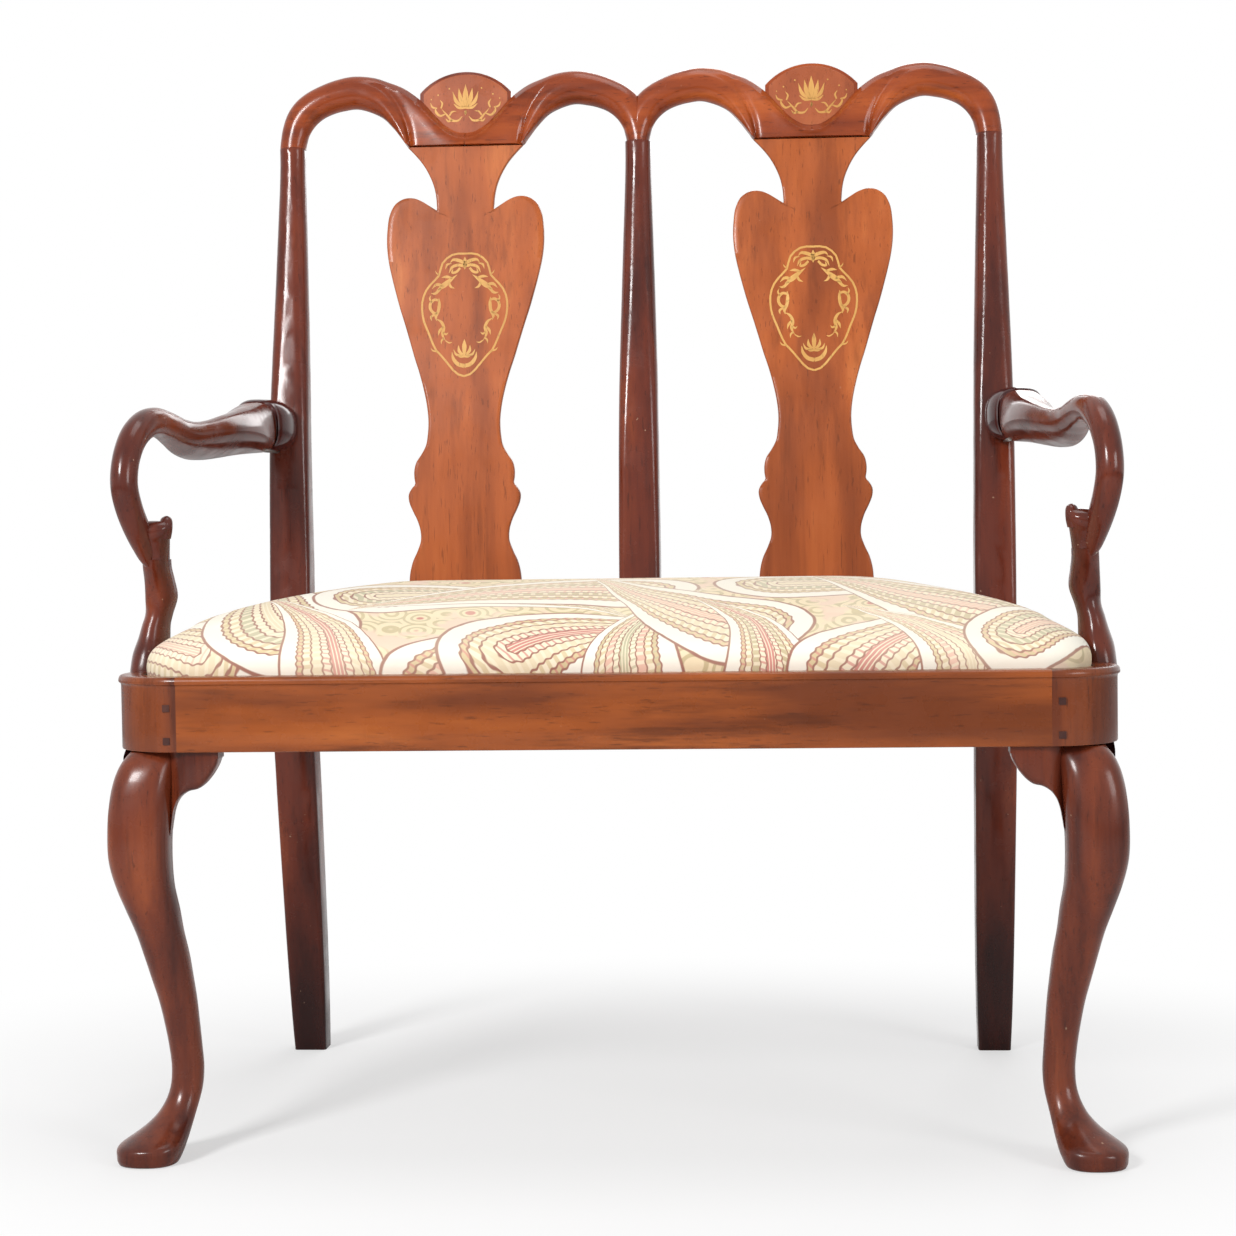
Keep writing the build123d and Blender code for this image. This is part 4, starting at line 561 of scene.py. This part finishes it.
def splat_board():
    """The pierced splat: spokes from its middle line to its edge, round the rounded edge and back behind."""
    knots = np.concatenate([[0], np.cumsum(np.linalg.norm(np.diff(SPLAT_OUTLINE[:, :2], axis=0), axis=1))])
    rows = smooth(knots, SPLAT_OUTLINE, np.linspace(0, knots[-1], 230))
    half = 4.5
    face = np.concatenate([np.linspace(-1, 1, 33)])
    bend = np.linspace(0, np.pi, 9)[1:-1]
    ease = 1.4
    inset = 1 - ease / rows[:, 0:1]
    share = np.concatenate([face[None, :] * inset,
                            inset + (1 - inset) * np.sin(bend)[None, :],
                            -face[None, :] * inset,
                            -(inset + (1 - inset) * np.sin(bend)[None, :])], axis=1)
    out = np.concatenate([np.full(33, half), half * np.cos(bend), np.full(33, -half), -half * np.cos(bend)])
    height = rows[:, 2:3] + np.abs(share) * (rows[:, 1:2] - rows[:, 2:3])
    x = BAY + share * rows[:, 0:1]
    y = back_y(height.ravel()).reshape(height.shape) - out[None, :]
    return np.stack([x, y, height], axis=2)


def on_splat(across, height, out):
    """Points a little ahead of the splat's face."""
    return np.stack([BAY + across, back_y(height.ravel()).reshape(height.shape) - 4.5 - out, height], axis=-1)


for side, hand in ((-1, "left"), (1, "right")):
    tablet = arched_plate(48, 1032, 1010, 958, 0.6, 12, BAY)
    piece(f"{hand}_crest_rail_carved", [crest_half(200, BAY, 1), crest_half(BAY, BAY, -1), tablet], CREST_WOOD,
          replaced=[f"{hand}_crest_rail"], slot="mahogany", side=side, crease=28)
    panel = arched_plate(44.2, 1028.6, 1008.6, 962, 0.95, 1.2, BAY)
    piece(f"{hand}_tablet_panel_veneer", [panel], VENEER, replaced=[f"{hand}_tablet_panel"], slot="veneer", side=side)
    piece(f"{hand}_tablet_inlay_cut",
          inlay_blocks(TABLET_STROKES, lambda x, up, out: crest_points(x, up, 0.95 + out, BAY)),
          BOXWOOD, replaced=[f"{hand}_tablet_inlay"], slot="boxwood", side=side)
    piece(f"{hand}_splat_shaped", [splat_board()], SPLAT_WOOD, replaced=[f"{hand}_splat"], slot="mahogany", side=side)
    piece(f"{hand}_splat_inlay_cut", inlay_blocks(SPLAT_STROKES, on_splat), BOXWOOD,
          replaced=[f"{hand}_splat_inlay"], slot="boxwood", side=side)


# Arms. Stations: x, distance behind the front rail's face, z, width, depth, power, turn.
def placed(table):
    """Station rows with their second column counted from the front rail's face."""
    rows = np.array(table, float)
    rows[:, 1] += FRONT
    return rows


ARM_STATIONS = placed((
    (386, 399, 660, 42, 52, 2.8, 0), (386.5, 385, 659, 44, 51, 2.8, -4), (388, 360, 656.8, 47, 47, 2.8, -14),
    (391, 330, 654, 51, 41, 2.8, -25), (396, 295, 650.5, 54, 35, 2.8, -32), (402, 262, 647, 54, 30, 2.7, -34),
    (408, 232, 645, 49, 26.5, 2.6, -32), (413, 205, 646, 41, 25.5, 2.5, -25), (417, 180, 650.5, 34, 26, 2.3, -14),
    (420.5, 152, 656.5, 30, 26.5, 2.15, -6), (424, 124, 659.5, 27, 27, 2.05, 0), (428.5, 98, 655, 26, 27, 2, 0),
    (433, 75, 641, 25, 27, 2, 0), (436, 62, 620, 24.5, 27, 2, 0), (436.5, 59, 602, 24.5, 28, 2, 0),
    (434.2, 65, 582, 24, 29, 2, 0), (430.8, 74, 566, 23, 30, 2, 0), (427, 85, 552, 21, 31, 2.1, 0),
    (423.5, 95, 541, 18, 32, 2.2, 0), (421.5, 100, 535, 14, 30, 2.2, 0),
))
NUB_STATIONS = placed((
    (418.6, 100, 532, 23, 34, 2.3, 0), (419, 98, 538, 25, 32, 2.3, 0), (420.5, 92, 549, 32, 29, 2.3, 0),
    (421, 86, 558, 37, 25, 2.2, 0), (420.5, 84, 563, 37, 20, 2.2, 0), (419.5, 84.5, 566.4, 35, 16, 2.1, 0),
    (418.8, 85, 568.4, 30, 11, 2, 0), (418.2, 85, 569.2, 20, 6, 2, 0), (418, 85, 569.5, 6, 2, 2, 0),
))
TIP_STATIONS = placed((
    (408, 87, 553, 12, 16, 2, 0), (406.8, 87, 560, 12.5, 16, 2, 0), (406.2, 87.5, 566, 12, 15, 2, 0),
    (406, 88, 570, 10.5, 12.5, 2, 0), (405.9, 88.5, 572.6, 7, 8, 2, 0), (405.9, 88.6, 573.8, 2, 2.4, 2, 0),
))
SUPPORT_STATIONS = placed((
    (434, 101, 385, 6, 12, 2.1, 0), (434, 103, 391, 12, 24, 2.2, 0), (431.5, 108, 402, 23, 38, 2.3, 0),
    (432.8, 113, 418, 29.5, 50, 2.4, 0), (431.5, 118, 434, 31.2, 60, 2.5, 0), (430.1, 121, 448, 31, 58, 2.3, 0),
    (427.6, 124, 464, 26.2, 50, 2.2, 0), (426, 125, 474, 23.9, 46, 2.2, 0), (423.8, 126, 482, 23.4, 43, 2.2, 0),
    (420.5, 124, 499, 28, 40, 2.4, 0),
    (420, 116, 515, 26, 38, 2.4, 0), (419.4, 106, 527, 24.2, 40, 2.4, 0), (418.8, 102, 534, 24, 41, 2.4, 0),
))
BLOCK_STATIONS = placed((
    (386, 396, 661, 40, 52, 2.6, 0), (386, 398, 661.5, 45, 53, 2.6, 0), (384.5, 404, 662, 48, 53, 2.7, 0),
    (381, 415, 662, 51, 53, 2.7, 0), (379, 430, 661.5, 52, 52, 2.7, 0), (378, 444, 661, 51, 50, 2.6, 0),
    (377.5, 455, 661, 48, 47, 2.5, 0), (377.2, 459.6, 660.5, 44, 43, 2.4, 0), (377, 460, 660.5, 38, 38, 2.4, 0),
))
for side, hand in ((-1, "left"), (1, "right")):
    arm_parts = [limb(ARM_STATIONS, 150, 48), limb(NUB_STATIONS, 60, 40, level=True),
                 limb(TIP_STATIONS, 24, 24, level=True)]
    piece(f"{hand}_arm_carved", arm_parts, ARM_WOOD,
          replaced=[f"{hand}_arm"], slot="mahogany", side=side)
    piece(f"{hand}_arm_support_carved", [limb(SUPPORT_STATIONS, 80, 44, level=True)], ARM_WOOD,
          replaced=[f"{hand}_arm_support"], slot="mahogany", side=side)
    piece(f"{hand}_arm_block_carved", [limb(BLOCK_STATIONS, 50, 44)], BLOCK_WOOD,
          replaced=[f"{hand}_arm_block"], slot="mahogany", side=side)


# Drop-in seat: a crowned cushion, blown up a little with its foot held in the rails' rebate.
HELD_BELOW = 0.4345          # cloth points under this height keep still, in metres as the two below
FOOT_START, FOOT_RISE = 0.4315, 0.006    # the swell grows from nothing over this height
def seat_ring(inset, count=240):
    """The seat's outline drawn in from the rails' faces, as points, from the front middle anticlockwise."""
    front, back = FRONT + inset, FRONT + 430.4 - max(inset - 21.5, 0)
    wide = lambda y: 453 - (y - FRONT) * np.tan(SLOPE) - inset / np.cos(SLOPE)
    corner, rear = max(CORNER ** 2 / (CORNER + inset), 10), 14.0
    turns = np.radians(-90) + (np.pi / 2 + SLOPE) * np.linspace(0, 1, 24)[:, None]
    middle = np.array([wide(front) - corner * np.tan(np.pi / 4 + SLOPE / 2), front + corner])
    pieces = [np.array([[0.0, front]]), middle + corner * np.hstack([np.cos(turns), np.sin(turns)])]
    turns = SLOPE + (np.pi / 2 - SLOPE) * np.linspace(0, 1, 16)[:, None]
    middle = np.array([wide(back) - rear * np.tan(np.pi / 4 - SLOPE / 2), back - rear])
    pieces += [middle + rear * np.hstack([np.cos(turns), np.sin(turns)]), np.array([[0.0, back]])]
    half = np.concatenate(pieces)
    whole = np.concatenate([half, half[-2:0:-1] * (-1, 1)])
    closed = np.concatenate([whole, whole[:1]])
    distance = np.concatenate([[0], np.cumsum(np.linalg.norm(np.diff(closed, axis=0), axis=1))])
    even = np.linspace(0, distance[-1], count, endpoint=False)
    return np.stack([np.interp(even, distance, closed[:, 0]), np.interp(even, distance, closed[:, 1])], axis=1)


CROWN = (                    # inset from the rails' faces, height above the floor
    (26, 421.6), (22.0, 422.4), (21.2, 426), (21.0, 433), (20.9, 440), (21.6, 446.5), (24.6, 452.4), (31, 458.4),
    (40, 464.2), (52, 470.8), (68, 478.4), (89, 485.6), (115, 492.4), (145, 498), (175, 502), (205, 504.2),
    (222, 504.8),
)
crown = along(np.array([(inset, height, 0) for inset, height in CROWN]), 34)
rings = np.stack([np.concatenate([seat_ring(inset), np.full((240, 1), height)], axis=1) for inset, height, _ in crown])
cushion = piece("seat_cushion", [rings], COTTON, body="slip_seat", replaced=["seat_cover"], slot="woven_cover",
                crease=180)


def stuffed(made, frames=18, cap=0.003, upright_share=0.3, least=0.001):
    """Blow the closed cushion up under cloth, with its foot held.

    A point only travels outwards, as a cover can't enter its stuffing: up to the cap on top, less on upright sides.
    """
    pad = made.modifiers.new("even", "REMESH")
    pad.mode = "VOXEL"
    pad.voxel_size = 0.006
    pad.use_smooth_shade = True
    bpy.context.view_layer.objects.active = made
    bpy.ops.object.modifier_apply(modifier=pad.name)
    mesh = made.data
    count = len(mesh.vertices)
    rest = np.zeros(count * 3, np.float32)
    mesh.vertices.foreach_get("co", rest)
    rest = rest.reshape(-1, 3)
    held = made.vertex_groups.new(name="held")
    for index in np.nonzero(rest[:, 2] < HELD_BELOW)[0].tolist():
        held.add([index], 1.0, "REPLACE")
    cloth = made.modifiers.new("swell", "CLOTH")
    cloth.settings.vertex_group_mass = "held"
    cloth.settings.quality = 5
    cloth.settings.mass = 0.3
    cloth.settings.tension_stiffness = 18
    cloth.settings.compression_stiffness = 6
    cloth.settings.bending_stiffness = 1.2
    cloth.settings.use_pressure = True
    cloth.settings.uniform_pressure_force = 4
    cloth.settings.effector_weights.gravity = 0
    cloth.point_cache.frame_start = 1
    cloth.point_cache.frame_end = frames
    for step in range(1, frames + 1):
        bpy.context.scene.frame_set(step)
    blown = made.evaluated_get(bpy.context.evaluated_depsgraph_get())
    moved = np.zeros(count * 3, np.float32)
    blown.data.vertices.foreach_get("co", moved)
    outward = np.zeros(count * 3, np.float32)
    mesh.vertices.foreach_get("normal", outward)
    outward = outward.reshape(-1, 3)
    above_foot = np.clip((rest[:, 2:] - FOOT_START) / FOOT_RISE, 0, 1)
    allowed = np.maximum(cap * np.clip(outward[:, 2:], upright_share, 1), least)
    travel_out = np.sum((moved.reshape(-1, 3) - rest) * outward, axis=1, keepdims=True)
    swell = np.clip(travel_out, least, allowed)
    travel = outward * swell * above_foot
    made.modifiers.remove(cloth)
    bpy.context.scene.frame_set(1)
    mesh.vertices.foreach_set("co", (rest + travel).ravel())
    mesh.update()


stuffed(cushion)
finer = cushion.modifiers.new("finer", "SUBSURF")
finer.levels = finer.render_levels = 1
cushion_mesh = cushion.data
spots = np.zeros(len(cushion_mesh.vertices) * 3, np.float32)
cushion_mesh.vertices.foreach_get("co", spots)
spots = spots.reshape(-1, 3)
CROWN_TOP = 0.505            # the print is laid flat at this height and turned down over the sides, in metres
fall = np.maximum(CROWN_TOP - spots[:, 2], 0)
front_share = np.clip((0.0 - spots[:, 1]) / 0.2, 0, 1)
printed_x, printed_y = spots[:, 0] * (1 + 0.6 * fall), spots[:, 1] - 0.85 * fall * front_share
cloth_place = np.stack([printed_x, printed_y, np.zeros(len(spots))], axis=1)
layer = cushion_mesh.attributes.new("cloth_place", "FLOAT_VECTOR", "POINT")
layer.data.foreach_set("vector", cloth_place.astype(np.float32).ravel())


# Printed cover: teardrop plumes over ivory ground.
def plume_group():
    """One plume. Inputs are a place, a middle, a turn and a length; outputs are a colour and where it covers.

    Across is bent by the square of along, and divided by a width that is round at the foot and runs out at the tip.
    """
    group = bpy.data.node_groups.new("plume", "ShaderNodeTree")
    face = group.interface
    for label, kind in (("Place", "NodeSocketVector"), ("Middle", "NodeSocketVector"), ("Turn", "NodeSocketFloat"),
                        ("Length", "NodeSocketFloat"), ("Curl", "NodeSocketFloat"), ("Heart", "NodeSocketColor"),
                        ("Leaf", "NodeSocketColor")):
        face.new_socket(label, in_out="INPUT", socket_type=kind)
    face.new_socket("Colour", in_out="OUTPUT", socket_type="NodeSocketColor")
    face.new_socket("Cover", in_out="OUTPUT", socket_type="NodeSocketFloat")
    t = Tree(group)
    given, result = t.add("NodeGroupInput").outputs, t.add("NodeGroupOutput").inputs
    offset = t.add("ShaderNodeVectorMath", operation="SUBTRACT")
    t.put(given["Place"], offset.inputs[0])
    t.put(given["Middle"], offset.inputs[1])
    turned = t.add("ShaderNodeVectorRotate", rotation_type="Z_AXIS")
    t.put(offset.outputs[0], turned.inputs["Vector"])
    t.put(given["Turn"], turned.inputs["Angle"])
    split = t.add("ShaderNodeSeparateXYZ", Vector=turned.outputs[0])
    x = t.math("DIVIDE", split.outputs[0], given["Length"])
    y = t.math("DIVIDE", split.outputs[1], given["Length"])
    up = t.math("MAXIMUM", t.math("ADD", y, 0.1), 0.0)
    down = t.math("MAXIMUM", t.math("SUBTRACT", -0.1, y), 0.0)
    bent = t.math("SUBTRACT", x, t.math("MULTIPLY", given["Curl"], t.math("MULTIPLY", up, up)))
    narrow = t.math("MAXIMUM", t.math("SUBTRACT", 1.0, t.math("POWER", t.math("DIVIDE", up, 0.78), 1.5)), 0.0005)
    sideways = t.math("DIVIDE", t.math("ABSOLUTE", bent), t.math("MULTIPLY", narrow, 0.24))
    below = t.math("DIVIDE", down, 0.24)
    ring = t.math("SQRT", t.math("ADD", t.math("MULTIPLY", sideways, sideways), t.math("MULTIPLY", below, below)))
    sprays = t.math("SINE", t.math("ADD", t.math("MULTIPLY", y, 190.0), t.math("MULTIPLY", sideways, 9.0)))
    feather = t.math("ADD", ring, t.math("MULTIPLY", sprays, 0.012))
    veins = t.ramp(t.math("SINE", t.math("MULTIPLY", bent, 420.0)), 0.2, 0.9)
    beads = t.ramp(t.math("SINE", t.math("MULTIPLY", y, 260.0)), 0.35, 0.75)
    line, ivory, straw, white = (0.30, 0.085, 0.055), (0.90, 0.80, 0.60), (0.66, 0.52, 0.28), (0.93, 0.90, 0.80)
    rings = (                # where a ring starts, its colour, its marks' colour, its marks
        (0.00, given["Heart"], ivory, veins), (0.13, ivory, given["Heart"], beads),
        (0.27, given["Leaf"], ivory, t.ramp(sprays, 0.1, 0.7)), (0.45, ivory, straw, t.ramp(sprays, -0.2, 0.5)),
        (0.60, straw, given["Heart"], beads), (0.70, white, white, 0.0))
    colour = t.mix(veins, given["Heart"], ivory)
    for start, ground, marks, share in rings[1:]:
        colour = t.mix(t.ramp(feather, start - 0.035, start - 0.020), colour, line)
        within = ground if isinstance(share, float) else t.mix(t.math("MULTIPLY", share, 0.8), ground, marks)
        colour = t.mix(t.ramp(feather, start - 0.004, start + 0.010), colour, within)
    colour = t.mix(t.ramp(ring, 0.955, 0.975), colour, line)
    t.put(colour, result["Colour"])
    t.put(t.math("SUBTRACT", 1.0, t.ramp(ring, 1.0, 1.02)), result["Cover"])
    return group


ROSE, BLUSH = (0.62, 0.20, 0.17), (0.80, 0.47, 0.36)
SAGE, KHAKI, SAND = (0.52, 0.48, 0.30), (0.56, 0.46, 0.26), (0.80, 0.68, 0.46)
PLUMES = (     # across, along, turn in degrees, length, curl, heart, leaf
    (-0.385, -0.250, -62, 0.30, 0.9, BLUSH, SAND), (-0.300, -0.200, -30, 0.34, 0.8, SAND, SAGE),
    (-0.335, -0.060, 60, 0.24, -0.9, BLUSH, KHAKI), (-0.235, -0.290, 10, 0.26, -0.8, ROSE, SAND),
    (-0.180, -0.120, 72, 0.30, 0.9, SAND, SAGE), (-0.120, -0.300, 34, 0.34, 0.9, ROSE, BLUSH),
    (-0.055, -0.245, 52, 0.32, 1.0, ROSE, SAND), (-0.010, -0.100, -78, 0.34, -0.7, BLUSH, KHAKI),
    (0.030, -0.300, -20, 0.27, 0.9, SAGE, BLUSH), (0.105, -0.210, -66, 0.32, 0.8, BLUSH, SAND),
    (0.165, -0.310, 12, 0.25, -0.9, ROSE, KHAKI), (0.195, -0.080, 80, 0.32, 0.8, SAND, SAGE),
    (0.250, -0.270, 28, 0.30, 0.9, ROSE, SAND), (0.325, -0.180, -70, 0.34, 0.8, BLUSH, KHAKI),
    (0.350, -0.300, -8, 0.24, -0.9, SAND, BLUSH), (0.395, -0.220, 30, 0.26, 0.8, BLUSH, SAGE),
    (-0.270, 0.060, -40, 0.30, 0.8, BLUSH, SAND), (-0.120, 0.080, 55, 0.32, -0.8, ROSE, KHAKI),
    (0.060, 0.070, -60, 0.30, 0.9, SAND, SAGE), (0.230, 0.080, 35, 0.32, -0.8, BLUSH, SAND),
    (-0.020, 0.170, 85, 0.26, 0.8, BLUSH, SAGE), (0.330, 0.130, -30, 0.24, 0.8, ROSE, SAND),
    (-0.340, 0.150, 20, 0.24, -0.8, SAND, KHAKI),
)


def printed_cover():
    """Sun-bleached printed linen: plumes over a sprigged ivory ground, with a plain weave."""
    made, tree, shader = nodes_of("printed_linen")
    t = Tree(tree)
    place = t.add("ShaderNodeAttribute", attribute_name="cloth_place").outputs["Vector"]
    drift = t.add("ShaderNodeTexNoise", Scale=7.0, Detail=1.0)
    t.put(place, drift.inputs["Vector"])
    moved = t.add("ShaderNodeVectorMath", operation="MULTIPLY_ADD")
    t.put(drift.outputs["Color"], moved.inputs[0])
    moved.inputs[1].default_value = (0.030, 0.030, 0.0)
    t.put(place, moved.inputs[2])
    where = moved.outputs[0]
    cells = t.add("ShaderNodeTexVoronoi", feature="F1", Scale=34.0, Randomness=0.8)
    t.put(where, cells.inputs["Vector"])
    curls = t.math("SINE", t.math("MULTIPLY", cells.outputs["Distance"], 26.0))
    colour = t.mix(t.ramp(curls, 0.1, 0.7), (0.84, 0.70, 0.46), (0.56, 0.45, 0.24))
    colour = t.mix(t.ramp(t.noise(where, 26, 2), 0.52, 0.62), colour, (0.83, 0.60, 0.46))
    colour = t.mix(t.ramp(cells.outputs["Distance"], 0.20, 0.14), colour, (0.56, 0.14, 0.11))
    group = plume_group()
    for x, y, turn, length, curl, heart, leaf in PLUMES:
        plume = t.add("ShaderNodeGroup", node_tree=group)
        # Each plume waits for the one before, so that the shader holds few values at once.
        held = t.add("ShaderNodeVectorMath", operation="MULTIPLY_ADD")
        t.put(colour, held.inputs[0])
        held.inputs[1].default_value = (1e-9, 1e-9, 0)
        t.put(where, held.inputs[2])
        t.put(held.outputs[0], plume.inputs["Place"])
        plume.inputs["Middle"].default_value = (x, y, 0)
        plume.inputs["Turn"].default_value = np.radians(turn)
        plume.inputs["Length"].default_value = 0.86 * length
        plume.inputs["Curl"].default_value = curl
        plume.inputs["Heart"].default_value = (*heart, 1)
        plume.inputs["Leaf"].default_value = (*leaf, 1)
        mixed = t.add("ShaderNodeMix", data_type="RGBA")
        t.put(plume.outputs["Cover"], mixed.inputs["Factor"])
        t.put(colour, mixed.inputs[6])
        t.put(plume.outputs["Colour"], mixed.inputs[7])
        colour = mixed.outputs[2]
    colour = t.mix(t.math("MULTIPLY", t.ramp(t.noise(place, 5, 2), 0.35, 0.65), 0.28), colour, (0.95, 0.88, 0.70))
    colour = t.mix(0.10, colour, (0.95, 0.87, 0.70))
    split = t.add("ShaderNodeSeparateXYZ", Vector=place)
    threads = [t.math("SINE", t.math("MULTIPLY", split.outputs[axis], 2 * np.pi / 0.0011)) for axis in (0, 1)]
    weave = t.math("MULTIPLY", threads[0], threads[1])
    # Painted shade in the weave: the gaps between threads are darkened, mixed in at up to 12%.
    colour = t.mix(t.ramp(weave, -1, 1, 0.0, 0.12), colour, (0.55, 0.45, 0.32), "MULTIPLY")
    t.put(colour, shader.inputs["Base Color"])
    shader.inputs["Roughness"].default_value = 0.88
    shader.inputs["Sheen Weight"].default_value = 0.15
    bump = t.add("ShaderNodeBump", Strength=0.35, Distance=0.0004)
    t.put(t.math("ADD", weave, t.math("MULTIPLY", t.noise(place, 60, 3), 2.0)), bump.inputs["Height"])
    t.put(bump.outputs[0], shader.inputs["Normal"])
    return made


cushion.data.materials[0] = printed_cover()


# Finishes of the pieces that keep their shape.
KEPT = {
    "rear_seat_rail": SIDE_WOOD, "rear_seat_bearer": BEECH, "seat_brace": BEECH,
    "centre_post": POST_WOOD, "arm_screws": STEEL, "arm_support_screws": STEEL, "corner_block_screws": STEEL,
    "seat_stuffing": HAIR, "seat_base_cloth": HESSIAN, "seat_webbing_across": WEBBING, "seat_webbing_deep": WEBBING,
    "seat_frame_front": BEECH, "seat_frame_back": BEECH, "seat_tacks": STEEL, "seat_dust_cover": COTTON,
}
for hand in ("left", "right"):
    for part, finish in (("rear_post", POST_WOOD), ("splat_shoe", POST_WOOD), ("side_knee_bracket", BLOCK_WOOD),
                         ("front_corner_block", BEECH), ("rear_corner_block", BEECH),
                         ("seat_frame_side", BEECH)):
        KEPT[f"{hand}_{part}"] = finish
for name, finish in KEPT.items():
    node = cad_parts[name]
    node.data.materials.clear()
    node.data.materials.append(finish)
    node.data.polygons.foreach_set("use_smooth", np.ones(len(node.data.polygons), bool))
    weld = node.modifiers.new("weld", "WELD")
    weld.merge_threshold = 0.00001
    if finish in (STEEL, HAIR, HESSIAN, WEBBING, COTTON):
        soften = node.modifiers.new("split", "EDGE_SPLIT")
        soften.split_angle = np.radians(35)
    else:
        ease = node.modifiers.new("ease", "BEVEL")
        ease.width = 0.0011
        ease.segments = 2
        ease.limit_method = "ANGLE"
        ease.angle_limit = np.radians(38)
        ease.harden_normals = True

# Floor, light and camera.
floor_mesh = bpy.data.meshes.new("floor")
floor_mesh.from_pydata([(-9, -9, 0), (9, -9, 0), (9, 9, 0), (-9, 9, 0)], [], [(0, 1, 2, 3)])
floor = bpy.data.objects.new("floor", floor_mesh)
bpy.context.scene.collection.objects.link(floor)
floor_finish, tree, shader = nodes_of("pale_floor")
t = Tree(tree)
shader.inputs["Base Color"].default_value = (0.86, 0.86, 0.86, 1)
shader.inputs["Roughness"].default_value = 0.9
rays = t.add("ShaderNodeLightPath").outputs
spread = t.add("ShaderNodeVectorMath", operation="LENGTH")
t.put(t.stretched(t.add("ShaderNodeTexCoord").outputs["Object"], (1.0, 1.25, 1)), spread.inputs[0])
glow = t.add("ShaderNodeEmission", Color=(1, 1, 1, 1), Strength=1.0)
both = t.add("ShaderNodeMixShader")
t.put(t.math("MULTIPLY", t.ramp(spread.outputs["Value"], 0.35, 1.05, 0.45, 1.0), rays["Is Camera Ray"]), both.inputs[0])
t.put(shader.outputs[0], both.inputs[1])
t.put(glow.outputs[0], both.inputs[2])
t.put(both.outputs[0], tree.nodes["Material Output"].inputs["Surface"])
floor.data.materials.append(floor_finish)

world = bpy.data.worlds.new("studio")
bpy.context.scene.world = world
world.use_nodes = True
t = Tree(world.node_tree)
rays = t.add("ShaderNodeLightPath").outputs
seen = t.math("MAXIMUM", t.math("MAXIMUM", rays["Is Camera Ray"], rays["Is Transmission Ray"]),
              rays["Is Glossy Ray"])
background = world.node_tree.nodes["Background"]
background.inputs["Color"].default_value = (1, 1, 1, 1)
t.put(t.math("ADD", t.math("MULTIPLY", seen, 0.68), 0.32), background.inputs["Strength"])


def lamp(name, place, target, size, power):
    """A square soft lamp that looks at a point."""
    light = bpy.data.lights.new(name, "AREA")
    light.size = size
    light.energy = power
    made = bpy.data.objects.new(name, light)
    bpy.context.scene.collection.objects.link(made)
    made.location = place
    made.rotation_euler = (Vector(target) - Vector(place)).to_track_quat("-Z", "Y").to_euler()
    return made


lamp("key", (-1.5, -2.6, 2.0), (0, 0, 0.6), 0.7, 84)
lamp("fill", (2.2, -1.9, 1.3), (0, 0, 0.5), 1.0, 24)
lamp("top", (0.3, 0.0, 2.8), (0, 0, 0.4), 1.2, 14)
lamp("behind", (0.4, 2.6, 1.9), (0, 0, 0.6), 1.4, 20)

camera = bpy.data.objects.new("camera", bpy.data.cameras.new("camera"))
bpy.context.scene.collection.objects.link(camera)
bpy.context.scene.camera = camera
camera.data.sensor_width = 36
camera.data.lens = 78.88
yaw, pitch, roll = 0.0722, 0.0481, -0.0141
forward = Vector((-np.sin(yaw) * np.cos(pitch), np.cos(yaw) * np.cos(pitch), -np.sin(pitch)))
right = Vector((np.cos(yaw), np.sin(yaw), 0))
upward = right.cross(forward)
across = np.cos(roll) * right + np.sin(roll) * upward
upward = -np.sin(roll) * right + np.cos(roll) * upward
camera.matrix_world = Matrix.Translation((0.1776, -2.3293 + FRONT * MM, 0.5936)) @ Matrix(
    (across, upward, -forward)).transposed().to_4x4()
camera.data.clip_end = 60
bpy.context.scene.view_settings.view_transform = "Standard"
